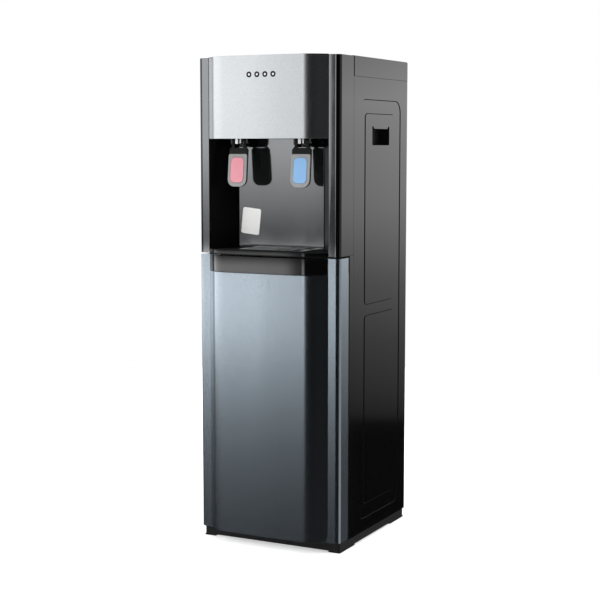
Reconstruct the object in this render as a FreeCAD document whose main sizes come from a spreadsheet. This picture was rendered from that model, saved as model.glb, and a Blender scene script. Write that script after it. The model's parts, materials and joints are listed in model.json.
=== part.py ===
"""Bottom load water cooler: a slim cabinet with a bottle compartment below,
hot and cold taps in a niche, and tanks, pump and thermoelectric cooling above.

Frame: X to the right, Y to the back, Z up, millimetres, origin on the floor under
the middle of the footprint. The front is at -Y.
"""
import FreeCAD, Part
import math
import os
import re
import Sketcher

doc = FreeCAD.newDocument("water_cooler")
dims = doc.addObject("Spreadsheet::Sheet", "dims")
aliases = []
places = {}
nodes = []


# ---------------------------------------------------------------- driving sizes

def size(alias, number):
    """Write one driving size into the sheet, in millimetres or as a count."""
    aliases.append(alias)
    row = str(len(aliases))
    dims.set("A" + row, alias.replace("_", " "))
    dims.set("B" + row, str(number))
    dims.setAlias("B" + row, alias)


def place(name, formula):
    """Name a place that follows from the driving sizes."""
    places[name] = "(" + formula + ")"


# overall
size("total_height", 980)
size("cabinet_width", 315)
size("total_depth", 360)
size("wall", 2.5)              # moulded plastic wall
size("seat_gap", 0.3)          # between pieces that sit together
# front bulge of the fascia and the door
size("bulge_depth", 27)
size("bulge_shoulder", 31)     # sideways run of the sloping flank
size("shoulder_radius", 45)
size("crown_rise", 1.8)
size("crown_radius", 2600)
# pillars and frame
size("pillar_width", 24)
size("pillar_radius", 10)
size("frame_depth", 64)
size("split_height", 590)      # seam between the door and the upper front
size("frame_plate", 2)
size("header_height", 50)
size("frame_top_drop", 1)
size("mouth_half_width", 141)  # half of the bottle mouth
size("mouth_sill", 8)
size("mouth_header", 12)
size("mouth_radius", 12)
# base
size("foot_height", 3)
size("foot_length", 70)
size("foot_width", 26)
size("plinth_height", 20)
size("plinth_inset", 2)
size("plinth_front_inset", 10)
size("plinth_radius", 6)
size("plinth_skin", 4)
size("plinth_rib", 3)
# side panels, rear panels and top cover
size("panel_thickness", 3)
size("cover_height", 40)
size("cover_overhang", 3)
size("cover_radius", 6)
size("cover_bevel", 2)
size("emboss_depth", 1.2)
size("emboss_radius", 25)
size("plateau_radius", 8)
size("emboss_front", 29)       # from the panel's front edge
size("emboss_rear", 35)        # from the panel's rear edge
size("emboss_low", 26)         # above the plinth
size("emboss_high", 43)        # under the cover
size("band_front", 26)         # band between the outer and inner outlines
size("band_rear", 34)
size("band_low", 31)
size("band_high", 29)
size("band_middle_low", 463)   # the band between the two plateaus
size("band_middle_high", 487)
size("handle_length", 85)
size("handle_height", 33)
size("handle_from_front", 87)
size("handle_level", 806)
size("handle_ear", 5)
size("handle_depth", 22)
size("cup_wall", 2)
size("cup_flange", 5)
# niche
size("sill_height", 8)
size("niche_height", 221)
size("niche_depth", 56)
size("niche_taper", 36)
size("niche_radius", 5)
size("ceiling_lift", 1)        # ceiling above the lower edge of the fascia
size("ceiling_thickness", 3)
size("fascia_return", 13)      # side flanges behind the pillar plane
# indicators
size("light_count", 4)
size("light_pitch", 17.7)
size("light_drop", 37)         # below the top of the fascia
size("light_clearance", 0.1)
size("bezel_diameter", 11)
size("lens_diameter", 5)
size("board_width", 84)
size("board_height", 30)
size("board_thickness", 1.6)
size("board_setback", 8)
# taps and levers
size("tap_spacing", 141)
size("spout_depth", 23)        # spout axis behind the pillar plane
size("spout_diameter", 17.5)
size("spout_bore", 8)
size("spout_drop", 17)
size("spout_clearance", 1)     # to the lever that straddles the spout
size("spout_lug", 6)
size("spout_lug_reach", 12)    # in front of the spout axis
size("tap_diameter", 25)
size("tap_height", 22)
size("tube_diameter", 8)
size("port_height", 5)
size("pivot_depth", 16)        # behind the pillar plane
size("pivot_drop", 9)          # below the ceiling
size("pin_diameter", 4)
size("pin_clearance", 0.08)
size("ear_thickness", 3)
size("ear_width", 9)
size("lever_width", 42)
size("lever_neck", 38)
size("lever_tilt", 5.5)        # degrees
size("lever_length", 88)
size("lever_front", 8)         # front face in front of the pivot
size("lever_thickness", 4)
size("lever_rise", 5)
size("lever_boss", 10)
size("lever_neck_drop", 14)
size("lever_notch", 2.5)       # below the spout
size("pad_height", 65)
size("pad_thickness", 2.5)
size("pad_radius", 15)
size("insert_width", 29)
size("insert_height", 50)
size("insert_depth", 1.4)
size("insert_proud", 0.8)
size("insert_radius", 9)
size("insert_rise", 8)
# drip tray
size("tray_width", 150)
size("tray_depth", 44)
size("tray_bevel", 5)
size("tray_setback", 4)        # in front of the niche's rear wall
size("tray_skin", 1.2)
size("grille_thickness", 2)
size("grille_slots", 15)
size("grille_slot_width", 4)
# door
size("door_clearance", 2)
size("door_top_gap", 3)
size("door_thickness", 44.5)
size("door_gap", 1.5)
size("door_rear_radius", 3)
size("band_height", 33)
size("door_panel_rise", 2)
size("door_panel_radius", 12)
size("notch_depth", 3.5)
size("hinge_x_inset", 6.5)
size("hinge_y_inset", 11.5)
size("hinge_pin", 5)
size("hinge_plate", 1.2)
size("hinge_plate_length", 26)
size("hinge_engagement", 12)
size("liner_emboss", 3)
size("magnet_length", 34)
size("magnet_width", 9)
size("magnet_depth", 5)
size("strike_thickness", 0.8)
size("magnet_inset", 1.5)      # beside the bottle mouth
size("magnet_low", 16)         # above the bottom of the door
size("magnet_high", 12)        # below the black band
# compartment
size("bottle_diameter", 270)    # the bottle that it takes
size("bottle_clearance", 2)
size("bottle_tray_thickness", 4)
size("bottle_stop", 108)        # from the bottle's axis, both ways
size("stop_width", 10)
size("stop_length", 34)
size("bottle_stop_rise", 6)
size("deck_thickness", 4)
# tanks and cooling
size("hot_tank_diameter", 92)
size("hot_tank_height", 150)
size("jacket_thickness", 6)
size("jacket_height", 178)
size("hot_tank_y", -30)
size("tank_wall", 1)
size("tank_rim", 3)
size("cold_tank_diameter", 116)
size("cold_tank_height", 150)
size("block_width", 160)
size("block_depth", 150)
size("block_height", 192)
size("block_floor", 22)
size("module_thickness", 8)
size("module_width", 62)
size("sink_width", 118)
size("sink_base", 5)
size("sink_depth", 35)
size("fin_count", 15)
size("fin_thickness", 1.5)
size("fan_size", 119)
size("fan_depth", 25)
size("fan_bore", 113)
size("fan_hub", 38)
size("fan_shaft", 5)
size("fan_blades", 7)
size("blade_pitch", 32)        # degrees
size("blade_root", 6)          # half widths
size("blade_tip", 14)
size("blade_thickness", 1.6)
size("blade_clearance", 2)
size("fan_level", 715)
size("fan_gap", 3)             # to the rear cover
size("tube_rise", 880)
size("elbow_size", 13)
size("feed_offset", 26)        # sideways from the hot tank's axis
# pump, supply and probe
size("pump_x", 96)
size("pump_setback", 34)       # axis in front of the rear panels
size("pump_head", 44)
size("pump_motor", 36)
size("pump_length", 46)
size("pump_base", 2)
size("supply_length", 84)
size("supply_width", 62)
size("supply_height", 42)
size("supply_setback", 14)     # in front of the drain recess
size("supply_side_gap", 12)
size("probe_x", 120)
size("probe_setback", 26.5)
size("probe_cap_diameter", 50)
size("probe_cap_height", 26)
size("probe_cap_top", 566)
size("probe_tube_diameter", 14)
size("probe_tube_length", 420)
size("clip_level", 330)
size("clip_height", 14)
# rear
size("guard_rows", 4)          # above and below the middle row
size("guard_post", 8)
size("louvre_rows", 9)
size("louvre_pitch", 13)
size("louvre_length", 104)
size("louvre_height", 4.5)
size("louvre_low", 700)
size("rear_rib", 1.2)
size("recess_width", 40)
size("recess_depth", 15)
size("recess_x", 112)
size("recess_level", 640)
size("drain_diameter", 12)
size("drain_cap_diameter", 19)
size("gland_diameter", 20)
size("gland_bore", 7.5)
size("gland_level", 62)
size("switch_width", 15)
size("switch_height", 22)
size("switch_pitch", 26)
size("switch_level", 880)
size("switch_x", 118)
size("trunnion", 1.8)
size("rocker_depth", 2)        # axis below the rear face
size("screw_head", 7)
size("screw_proud", 2)

# ------------------------------------------------------ places that follow from them

place("half_width", "cabinet_width / 2")
place("rear_face", "total_depth / 2 - cover_overhang")
place("front_plane", "bulge_depth - total_depth / 2")
place("bulge_half", "half_width - pillar_width")
place("bulge_front", "-total_depth / 2")
place("shoulder_x", "bulge_half - bulge_shoulder")
place("shoulder_y", "bulge_front + crown_rise")
place("flank_angle", "atan((bulge_depth - crown_rise) / bulge_shoulder)")
place("inner_half", "half_width - panel_thickness")
place("rear_inner", "rear_face - wall")
place("frame_rear", "front_plane + frame_depth")
place("frame_top", "total_height - frame_top_drop")
place("door_rear", "front_plane + door_thickness")
place("door_bottom", "plinth_height + door_clearance")
place("door_top", "split_height - door_top_gap")
place("door_band_low", "door_top - band_height")
place("lower_frame_front", "door_rear + door_gap")
place("magnet_x0", "mouth_half_width + magnet_inset")
place("magnet_x1", "magnet_x0 + magnet_width")
place("magnet_z0", "door_bottom + magnet_low")
place("magnet_z1", "door_band_low - magnet_high - magnet_length")
place("plinth_half", "half_width - plinth_inset")
place("plinth_front", "front_plane + plinth_front_inset")
place("panel_top", "total_height - cover_height")
place("niche_floor", "split_height + sill_height")
place("fascia_bottom", "niche_floor + niche_height")
place("ceiling", "fascia_bottom + ceiling_lift")
place("ceiling_top", "ceiling + ceiling_thickness")
place("niche_back", "front_plane + niche_depth")
place("niche_half", "bulge_half - niche_taper")
place("fascia_back", "front_plane + fascia_return")
place("deck_top", "niche_floor")
place("deck_bottom", "deck_top - deck_thickness")
place("deck_front", "max(frame_rear; niche_back + wall) + seat_gap")
place("tap_x", "tap_spacing / 2")
place("spout_y", "front_plane + spout_depth")
place("spout_bottom", "ceiling - spout_drop")
place("pivot_y", "front_plane + pivot_depth")
place("pivot_z", "ceiling - pivot_drop")
place("light_z", "total_height - light_drop")
place("hinge_x", "-(half_width - hinge_x_inset)")
place("hinge_y", "door_rear - hinge_y_inset")
place("fan_rear", "rear_inner - fan_gap")
place("fan_front", "fan_rear - fan_depth")
place("sink_front", "fan_front - sink_depth")
place("block_rear", "sink_front - module_thickness")
place("block_front", "block_rear - block_depth")
place("cold_tank_y", "(block_front + block_rear) / 2")
place("block_left", "tap_x - block_width / 2")
place("block_right", "tap_x + block_width / 2")
place("pump_y", "rear_inner - pump_setback")
place("pump_z", "deck_top + pump_base + pump_head / 2")
place("probe_y", "rear_inner - probe_setback")
place("tray_rear", "niche_back - tray_setback")
place("tray_front", "tray_rear - tray_depth")
place("emboss_y0", "frame_rear + emboss_front")
place("emboss_y1", "rear_face - emboss_rear")
place("emboss_z0", "plinth_height + emboss_low")
place("emboss_z1", "panel_top - emboss_high")
place("handle_y0", "frame_rear + handle_from_front")
place("handle_y1", "handle_y0 + handle_length")
place("handle_top", "handle_level + handle_height")
place("compartment_y", "rear_inner - bottle_diameter / 2 - bottle_clearance")

doc.recompute()


def formula(text):
    """Turn names of sizes and places into references to the sheet."""
    text = str(text)
    while True:
        longer = re.sub(r"[a-z_]\w*", lambda word: places.get(word.group(), word.group()), text)
        if longer == text:
            break
        text = longer
    return re.sub(r"[a-z_]\w*",
                  lambda word: "dims." + word.group() if word.group() in aliases else word.group(), text)


def value(text):
    """The number that a formula gives now."""
    found = dims.evalExpression(formula(text).replace("dims.", ""))
    return float(getattr(found, "Value", found))


def bind(thing, path, text):
    thing.setExpression(path, formula(text))


def node(thing, label):
    """Keep a document object as a sub-part of the cooler."""
    thing.Label = label
    nodes.append(thing)
    return thing


# ------------------------------------------------------------- sketches and features

# direction of each plane's normal in the frame
NORMAL = {"XY": 1, "XZ": -1, "YZ": 1}


def new_body(label):
    return node(doc.addObject("PartDesign::Body", label + "_body"), label)


def plane_of(body, plane):
    roles = {feature.Role: feature for feature in body.Origin.OriginFeatures}
    return (roles[plane + "_Plane"], [""])


def new_sketch(body, plane, level, tilt=None):
    """A sketch on one of the body's own planes, moved to a level along its axis.

    A tilt, in degrees, turns it about the plane's first axis.
    """
    sketch = body.newObject("Sketcher::SketchObject", "sketch")
    sketch.AttachmentSupport = plane_of(body, plane)
    sketch.MapMode = "FlatFace"
    if tilt:
        turned = FreeCAD.Rotation(FreeCAD.Vector(1, 0, 0), value(tilt))
        sketch.AttachmentOffset = FreeCAD.Placement(FreeCAD.Vector(), turned)
    bind(sketch, "AttachmentOffset.Base.z", "%d * (%s)" % (NORMAL[plane], level))
    return sketch


def pin_point(sketch, geometry, position, corner):
    """Tie a point of the sketch to its two coordinates."""
    for kind, text in zip(("DistanceX", "DistanceY"), corner):
        index = sketch.addConstraint(Sketcher.Constraint(kind, -1, 1, geometry, position, value(text)))
        bind(sketch, "Constraints[%d]" % index, text)


def draw_loop(sketch, corners):
    """A closed outline through corners (x, y) or (x, y, radius), rounded by arcs."""
    count = len(corners)
    points = [FreeCAD.Vector(value(c[0]), value(c[1]), 0) for c in corners]
    radii = [value(c[2]) if len(c) > 2 else 0.0 for c in corners]
    starts, ends, centres = [], [], []
    for i, point in enumerate(points):
        back = (points[i - 1] - point).normalize()
        ahead = (points[(i + 1) % count] - point).normalize()
        half_turn = (math.pi - back.getAngle(ahead)) / 2
        reach = radii[i] * math.tan(half_turn)
        starts.append(point + back * reach)
        ends.append(point + ahead * reach)
        centre = None
        if radii[i]:
            centre = point + (back + ahead).normalize() * (radii[i] / math.cos(half_turn))
        centres.append(centre)
    lines = []
    for i in range(count):
        segment = Part.LineSegment(ends[i], starts[(i + 1) % count])
        lines.append(sketch.addGeometry(segment, False))
    for i in range(count):
        before, after = lines[i - 1], lines[i]
        if centres[i] is None:
            sketch.addConstraint(Sketcher.Constraint("Coincident", before, 2, after, 1))
            pin_point(sketch, after, 1, corners[i][:2])
            continue
        # an arc runs anticlockwise, so at a right-hand turn it starts at its far end
        left_turn = (points[i] - starts[i]).cross(ends[i] - points[i]).z > 0
        near = 1 if left_turn else 2
        first, last = (starts[i], ends[i]) if left_turn else (ends[i], starts[i])
        angles = [math.atan2(tip.y - centres[i].y, tip.x - centres[i].x) for tip in (first, last)]
        circle = Part.Circle(centres[i], FreeCAD.Vector(0, 0, 1), radii[i])
        arc = sketch.addGeometry(Part.ArcOfCircle(circle, *angles), False)
        corner = sketch.addGeometry(Part.Point(points[i]), True)
        sketch.addConstraint([
            Sketcher.Constraint("Tangent", before, 2, arc, near),
            Sketcher.Constraint("Tangent", arc, 3 - near, after, 1),
            Sketcher.Constraint("PointOnObject", corner, 1, before),
            Sketcher.Constraint("PointOnObject", corner, 1, after)])
        pin_point(sketch, corner, 1, corners[i][:2])
        index = sketch.addConstraint(Sketcher.Constraint("Radius", arc, radii[i]))
        bind(sketch, "Constraints[%d]" % index, corners[i][2])


def draw_circle(sketch, centre, radius):
    spot = FreeCAD.Vector(value(centre[0]), value(centre[1]), 0)
    circle = sketch.addGeometry(Part.Circle(spot, FreeCAD.Vector(0, 0, 1), value(radius)), False)
    pin_point(sketch, circle, 3, centre)
    index = sketch.addConstraint(Sketcher.Constraint("Radius", circle, value(radius)))
    bind(sketch, "Constraints[%d]" % index, radius)


def rectangle(x0, x1, y0, y1, radius=None):
    corners = [(x0, y0), (x1, y0), (x1, y1), (x0, y1)]
    if radius is not None:
        corners = [corner + (radius,) for corner in corners]
    return corners


def shape_sketch(body, plane, level, loops=(), circles=()):
    sketch = new_sketch(body, plane, level)
    for loop in loops:
        draw_loop(sketch, loop)
    for centre, radius in circles:
        draw_circle(sketch, centre, radius)
    return sketch


def pad(body, plane, low, high, loops=(), circles=()):
    """Fill the outlines from low to high along the plane's axis."""
    sketch = shape_sketch(body, plane, low, loops, circles)
    feature = body.newObject("PartDesign::Pad", "pad")
    feature.Profile = sketch
    feature.Reversed = NORMAL[plane] < 0
    bind(feature, "Length", "(%s) - (%s)" % (high, low))
    return feature


def pocket(body, plane, low, high, loops=(), circles=()):
    """Cut the outlines from low to high along the plane's axis."""
    doc.recompute()
    before = body.Shape.Volume
    sketch = shape_sketch(body, plane, low, loops, circles)
    feature = body.newObject("PartDesign::Pocket", "pocket")
    feature.Profile = sketch
    feature.Reversed = NORMAL[plane] > 0
    bind(feature, "Length", "(%s) - (%s)" % (high, low))
    doc.recompute()
    if body.Shape.Volume > before - 1e-3:
        raise ValueError("nothing was cut from " + body.Label)
    return feature


def turn(body, corners):
    """Revolve a half outline in the XZ plane about the body's Z axis."""
    sketch = shape_sketch(body, "XZ", "0", [corners])
    feature = body.newObject("PartDesign::Revolution", "turn")
    feature.Profile = sketch
    feature.ReferenceAxis = (sketch, ["V_Axis"])
    feature.Angle = 360
    return feature


def bevel(body, width, chosen):
    """Bevel the edges of the body that the test chooses."""
    doc.recompute()
    base = body.Tip
    names = []
    for i, edge in enumerate(base.Shape.Edges):
        if chosen(edge):
            names.append("Edge%d" % (i + 1))
    feature = body.newObject("PartDesign::Chamfer", "bevel")
    feature.Base = (base, names)
    bind(feature, "Size", width)


def repeat_straight(body, feature, axis, length, count):
    pattern = body.newObject("PartDesign::LinearPattern", "row")
    pattern.Originals = [feature]
    roles = {item.Role: item for item in body.Origin.OriginFeatures}
    pattern.Direction = (roles[axis + "_Axis"], [""])
    bind(pattern, "Length", length)
    bind(pattern, "Occurrences", count)
    body.Tip = pattern
    return pattern


def repeat_round(body, feature, count):
    pattern = body.newObject("PartDesign::PolarPattern", "ring")
    pattern.Originals = [feature]
    roles = {item.Role: item for item in body.Origin.OriginFeatures}
    pattern.Axis = (roles["Z_Axis"], [""])
    pattern.Angle = 360
    bind(pattern, "Occurrences", count)
    body.Tip = pattern
    return pattern


def move(thing, x, y, z, axis=None, angle=0):
    """Set a sub-part's placement: a turn about an axis, then a shift."""
    if axis:
        thing.Placement.Rotation = FreeCAD.Rotation(FreeCAD.Vector(*axis), angle)
    for letter, text in zip("xyz", (x, y, z)):
        bind(thing, "Placement.Base." + letter, text)
    return thing


# ------------------------------------------------------------------ Part primitives

def block(x0, x1, y0, y1, z0, z1):
    box = doc.addObject("Part::Box", "block")
    for key, low, high in (("Length", x0, x1), ("Width", y0, y1), ("Height", z0, z1)):
        bind(box, key, "(%s) - (%s)" % (high, low))
    return move(box, x0, y0, z0)


TURN_TO = {"X": ((0, 1, 0), 90), "Y": ((1, 0, 0), -90), "Z": None}


def rod(axis, across, low, high, diameter):
    """A cylinder along an axis; across holds its two other coordinates in order."""
    cylinder = doc.addObject("Part::Cylinder", "rod")
    bind(cylinder, "Radius", "(%s) / 2" % diameter)
    bind(cylinder, "Height", "(%s) - (%s)" % (high, low))
    spot = {"X": (low,) + across, "Y": (across[0], low, across[1]), "Z": across + (low,)}[axis]
    turned = TURN_TO[axis]
    if turned:
        return move(cylinder, *spot, axis=turned[0], angle=turned[1])
    return move(cylinder, *spot)


def ball(centre, diameter):
    sphere = doc.addObject("Part::Sphere", "ball")
    bind(sphere, "Radius", "(%s) / 2" % diameter)
    return move(sphere, *centre)


def join(*solids):
    fused = doc.addObject("Part::MultiFuse", "join")
    fused.Shapes = list(solids)
    return fused


def cut(base, *tools):
    for tool in tools:
        result = doc.addObject("Part::Cut", "cut")
        result.Base = base
        result.Tool = tool
        base = result
    return base


def group(label, *solids):
    """Separate solids that share one node."""
    together = doc.addObject("Part::Compound", label + "_group")
    together.Links = list(solids)
    return node(together, label)


# ------------------------------------------------------------------ shared outlines

def bulge_top(inset):
    """The bulged front line from left to right, set back by inset."""
    across = "(shoulder_x - (%s) * tan(flank_angle / 2))" % inset
    return [
        ("-" + across, "shoulder_y + (%s)" % inset, "shoulder_radius - (%s)" % inset),
        ("0", "bulge_front + (%s)" % inset, "crown_radius"),
        (across, "shoulder_y + (%s)" % inset, "shoulder_radius - (%s)" % inset)]


def bulge_on_plane(inset):
    """The bulge closed along the pillar plane."""
    foot = "(bulge_half - (%s) / sin(flank_angle))" % inset
    return [("-" + foot, "front_plane")] + bulge_top(inset) + [(foot, "front_plane")]


def bulge_to_back(inset, back, side_gap="0"):
    """The bulge with straight sides that run back behind the pillar plane."""
    side = "(bulge_half - (%s) - (%s))" % (side_gap, inset)
    knee = "front_plane + (%s) * (1 - sin(flank_angle)) / cos(flank_angle)" % inset
    return ([("-" + side, back), ("-" + side, knee)] + bulge_top(inset)
            + [(side, knee), (side, back)])


# --------------------------------------------------------------------------- base

def base_plinth():
    body = new_body("base_plinth")
    pad(body, "XY", "foot_height", "plinth_height", [
        rectangle("-plinth_half", "plinth_half", "plinth_front", "rear_face", "plinth_radius")])
    cells = []
    columns, rows = 3, 3
    for i in range(columns):
        for j in range(rows):
            wide = "((2 * plinth_half - plinth_rib) / %d)" % columns
            deep = "((rear_face - plinth_front - plinth_rib) / %d)" % rows
            left = "-plinth_half + plinth_rib + %d * %s" % (i, wide)
            near = "plinth_front + plinth_rib + %d * %s" % (j, deep)
            cells.append(rectangle(left, left + " + " + wide + " - plinth_rib",
                                   near, near + " + " + deep + " - plinth_rib"))
    pocket(body, "XY", "foot_height - 1", "plinth_height - plinth_skin", cells)


def base_feet():
    feet = []
    for side in (-1, 1):
        for near, far in (("plinth_front", "plinth_front + foot_length"),
                          ("rear_face - foot_length", "rear_face")):
            inner = "%d * (plinth_half - foot_width)" % side
            outer = "%d * plinth_half" % side
            low, high = (outer, inner) if side < 0 else (inner, outer)
            feet.append(block(low, high, near, far, "0", "foot_height"))
    group("base_feet", *feet)


# ------------------------------------------------------------------ cabinet panels

def side_panel(label, side):
    body = new_body(label)
    outer = "%d * half_width" % side
    inner = "%d * inner_half" % side
    low, high = (outer, inner) if side < 0 else (inner, outer)
    pad(body, "YZ", low, high, [rectangle("frame_rear", "rear_face", "plinth_height", "panel_top")])
    y0, y1 = "emboss_y0 + band_front", "emboss_y1 - band_rear"
    step = "%d * (half_width - emboss_depth)" % side
    low, high = (outer, step) if side < 0 else (step, outer)
    pocket(body, "YZ", low, high, [
        rectangle("emboss_y0", "emboss_y1", "emboss_z0", "emboss_z1", "emboss_radius"),
        rectangle(y0, y1, "emboss_z0 + band_low", "band_middle_low", "plateau_radius"),
        rectangle(y0, y1, "band_middle_high", "emboss_z1 - band_high", "plateau_radius")])
    low, high = (outer, inner) if side < 0 else (inner, outer)
    pocket(body, "YZ", low, high, [[
        ("handle_y0", "handle_level", 3), ("handle_y1", "handle_level", 3),
        ("handle_y1", "handle_top + handle_ear"), ("handle_y1 - handle_ear", "handle_top + handle_ear"),
        ("handle_y1 - 2 * handle_ear", "handle_top"), ("handle_y0 + 2 * handle_ear", "handle_top"),
        ("handle_y0 + handle_ear", "handle_top + handle_ear"), ("handle_y0", "handle_top + handle_ear")]])


def handle_cups():
    cups = []
    for side in (-1, 1):
        def span(near, far):
            first, second = "%d * (%s)" % (side, near), "%d * (%s)" % (side, far)
            return (second, first) if side < 0 else (first, second)
        low_y, high_y = "handle_y0 - 0.5", "handle_y1 + 0.5"
        low_z, high_z = "handle_level - 0.5", "handle_top + handle_ear + 0.5"
        deep = "inner_half - handle_depth"
        shell = block(*span(deep, "inner_half"), low_y + " - cup_wall", high_y + " + cup_wall",
                      low_z + " - cup_wall", high_z + " + cup_wall")
        flange = block(*span("inner_half - cup_wall", "inner_half"), low_y + " - cup_flange",
                       high_y + " + cup_flange", low_z + " - cup_flange", high_z + " + cup_flange")
        hollow = block(*span(deep + " + cup_wall", "inner_half + 1"), low_y, high_y, low_z, high_z)
        cups.append(cut(join(shell, flange), hollow))
    group("handle_cups", *cups)


def rear_lower_panel():
    body = new_body("rear_lower_panel")
    half = "inner_half - seat_gap"
    pad(body, "XZ", "rear_inner", "rear_face", [
        rectangle("-(%s)" % half, half, "plinth_height", "deck_top - seat_gap")])
    pocket(body, "XZ", "rear_face - rear_rib", "rear_face", [
        rectangle("-(%s) + 30" % half, "-20", "plinth_height + 90", "deck_top - 40", "plateau_radius"),
        rectangle("20", half + " - 30", "plinth_height + 90", "deck_top - 40", "plateau_radius")])
    pocket(body, "XZ", "rear_inner", "rear_face",
           circles=[(("-recess_x", "gland_level"), "gland_diameter / 2 - 3")])


def rear_upper_cover():
    body = new_body("rear_upper_cover")
    half = "inner_half - seat_gap"
    pad(body, "XZ", "rear_inner", "rear_face", [
        rectangle("-(%s)" % half, half, "deck_top", "panel_top")])
    well = "recess_width / 2 + wall"
    pad(body, "XZ", "rear_face - recess_depth - wall", "rear_face", [
        rectangle("-recess_x - (%s)" % well, "-recess_x + " + well,
                  "recess_level - (%s)" % well, "recess_level + " + well)])
    pocket(body, "XZ", "rear_face - recess_depth", "rear_face + 1", [
        rectangle("-recess_x - recess_width / 2", "-recess_x + recess_width / 2",
                  "recess_level - recess_width / 2", "recess_level + recess_width / 2")])
    pocket(body, "XZ", "rear_face - recess_depth - wall", "rear_face",
           circles=[(("-recess_x", "recess_level"), "drain_diameter / 2 + 0.1")])
    # ventilation louvres on the left half
    slot = pocket(body, "XZ", "rear_inner", "rear_face", [
        rectangle("-tap_x - louvre_length / 2", "-tap_x + louvre_length / 2",
                  "louvre_low", "louvre_low + louvre_height")])
    repeat_straight(body, slot, "Z", "louvre_pitch * (louvre_rows - 1)", "louvre_rows")
    doc.recompute()
    # fan grille: rows of slots whose lengths follow the bore of the fan
    slots = []
    for row in range(-int(value("guard_rows")), int(value("guard_rows")) + 1):
        level = "(%d) * louvre_pitch" % row
        reach = "sqrt((fan_bore / 2) ^ 2 - (%s) ^ 2)" % level
        low, high = "fan_level + %s - louvre_height / 2" % level, "fan_level + %s + louvre_height / 2" % level
        slots.append(rectangle("tap_x - " + reach, "tap_x - guard_post / 2", low, high))
        slots.append(rectangle("tap_x + guard_post / 2", "tap_x + " + reach, low, high))
    pocket(body, "XZ", "rear_inner", "rear_face", slots)
    # openings for the two rocker switches
    openings = []
    for place_index in (0, 1):
        x = "-switch_x + %d * switch_pitch" % place_index
        openings.append(rectangle(x + " - switch_width / 2", x + " + switch_width / 2",
                                  "switch_level - switch_height / 2", "switch_level + switch_height / 2"))
    pocket(body, "XZ", "rear_inner", "rear_face", openings)


def top_cover():
    body = new_body("top_cover")
    half = "half_width + 1"
    back = "total_depth / 2"
    pad(body, "XY", "panel_top", "total_height", [[
        ("-(%s)" % half, "frame_rear"), (half, "frame_rear"),
        (half, back, "cover_radius"), ("-(%s)" % half, back, "cover_radius")]])
    top, front = value("total_height"), value("frame_rear")
    bevel(body, "cover_bevel", lambda edge: edge.BoundBox.ZMin > top - 1e-3
          and edge.BoundBox.YMax > front + 1e-3)
    pocket(body, "XY", "panel_top - 1", "total_height - wall", [
        rectangle("-(%s) + wall" % half, half + " - wall", "frame_rear + wall", back + " - wall")])


# --------------------------------------------------------------------- upper front

def upper_front_frame():
    body = new_body("upper_front_frame")
    pillars, hollows = [], []
    for side in (-1, 1):
        inner, outer = "%d * bulge_half" % side, "%d * half_width" % side
        pillars.append([(inner, "frame_rear"), (inner, "front_plane"),
                        (outer, "front_plane", "pillar_radius"), (outer, "frame_rear")])
        wall_face = "%d * (half_width - wall)" % side
        hollows.append([("%d * (bulge_half - 1)" % side, "frame_rear + 1"),
                        ("%d * (bulge_half - 1)" % side, "front_plane + wall"),
                        (wall_face, "front_plane + wall", "pillar_radius - wall"),
                        (wall_face, "frame_rear + 1")])
    pad(body, "XY", "split_height", "split_height + frame_plate", [
        bulge_to_back("0", "frame_rear")])
    pad(body, "XY", "split_height", "frame_top", pillars)
    pocket(body, "XY", "split_height + frame_plate", "frame_top - wall", hollows)
    pad(body, "XY", "frame_top - wall", "frame_top", [
        rectangle("-bulge_half", "bulge_half", "fascia_back + seat_gap", "frame_rear")])
    pad(body, "XY", "frame_top - wall", "frame_top", [
        bulge_to_back("wall + seat_gap", "fascia_back + 1", "seat_gap")])
    pad(body, "XZ", "frame_rear - wall", "frame_rear", [
        rectangle("-half_width + wall", "half_width - wall", "frame_top - header_height", "frame_top - 1")])


def lower_front_frame():
    body = new_body("lower_front_frame")
    pad(body, "XZ", "lower_frame_front", "frame_rear", [
        rectangle("-half_width", "half_width", "plinth_height", "split_height"),
        rectangle("-mouth_half_width", "mouth_half_width", "plinth_height + mouth_sill",
                  "split_height - mouth_header", "mouth_radius")])


def niche_outline(inset, front):
    """The niche in plan: rear wall and two walls that splay towards the pillars."""
    slope = "(niche_taper / (niche_depth - wall))"
    grow = "((%s) * sqrt(1 + %s ^ 2))" % (inset, slope)
    mouth = "(bulge_half + %s + (front_plane + wall - (%s)) * %s)" % (grow, front, slope)
    back = "(niche_half + %s - (%s) * %s)" % (grow, inset, slope)
    rear = "niche_back + (%s)" % inset
    return [("-" + mouth, front), (mouth, front), (back, rear, "niche_radius + (%s)" % inset),
            ("-" + back, rear, "niche_radius + (%s)" % inset)]


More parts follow.
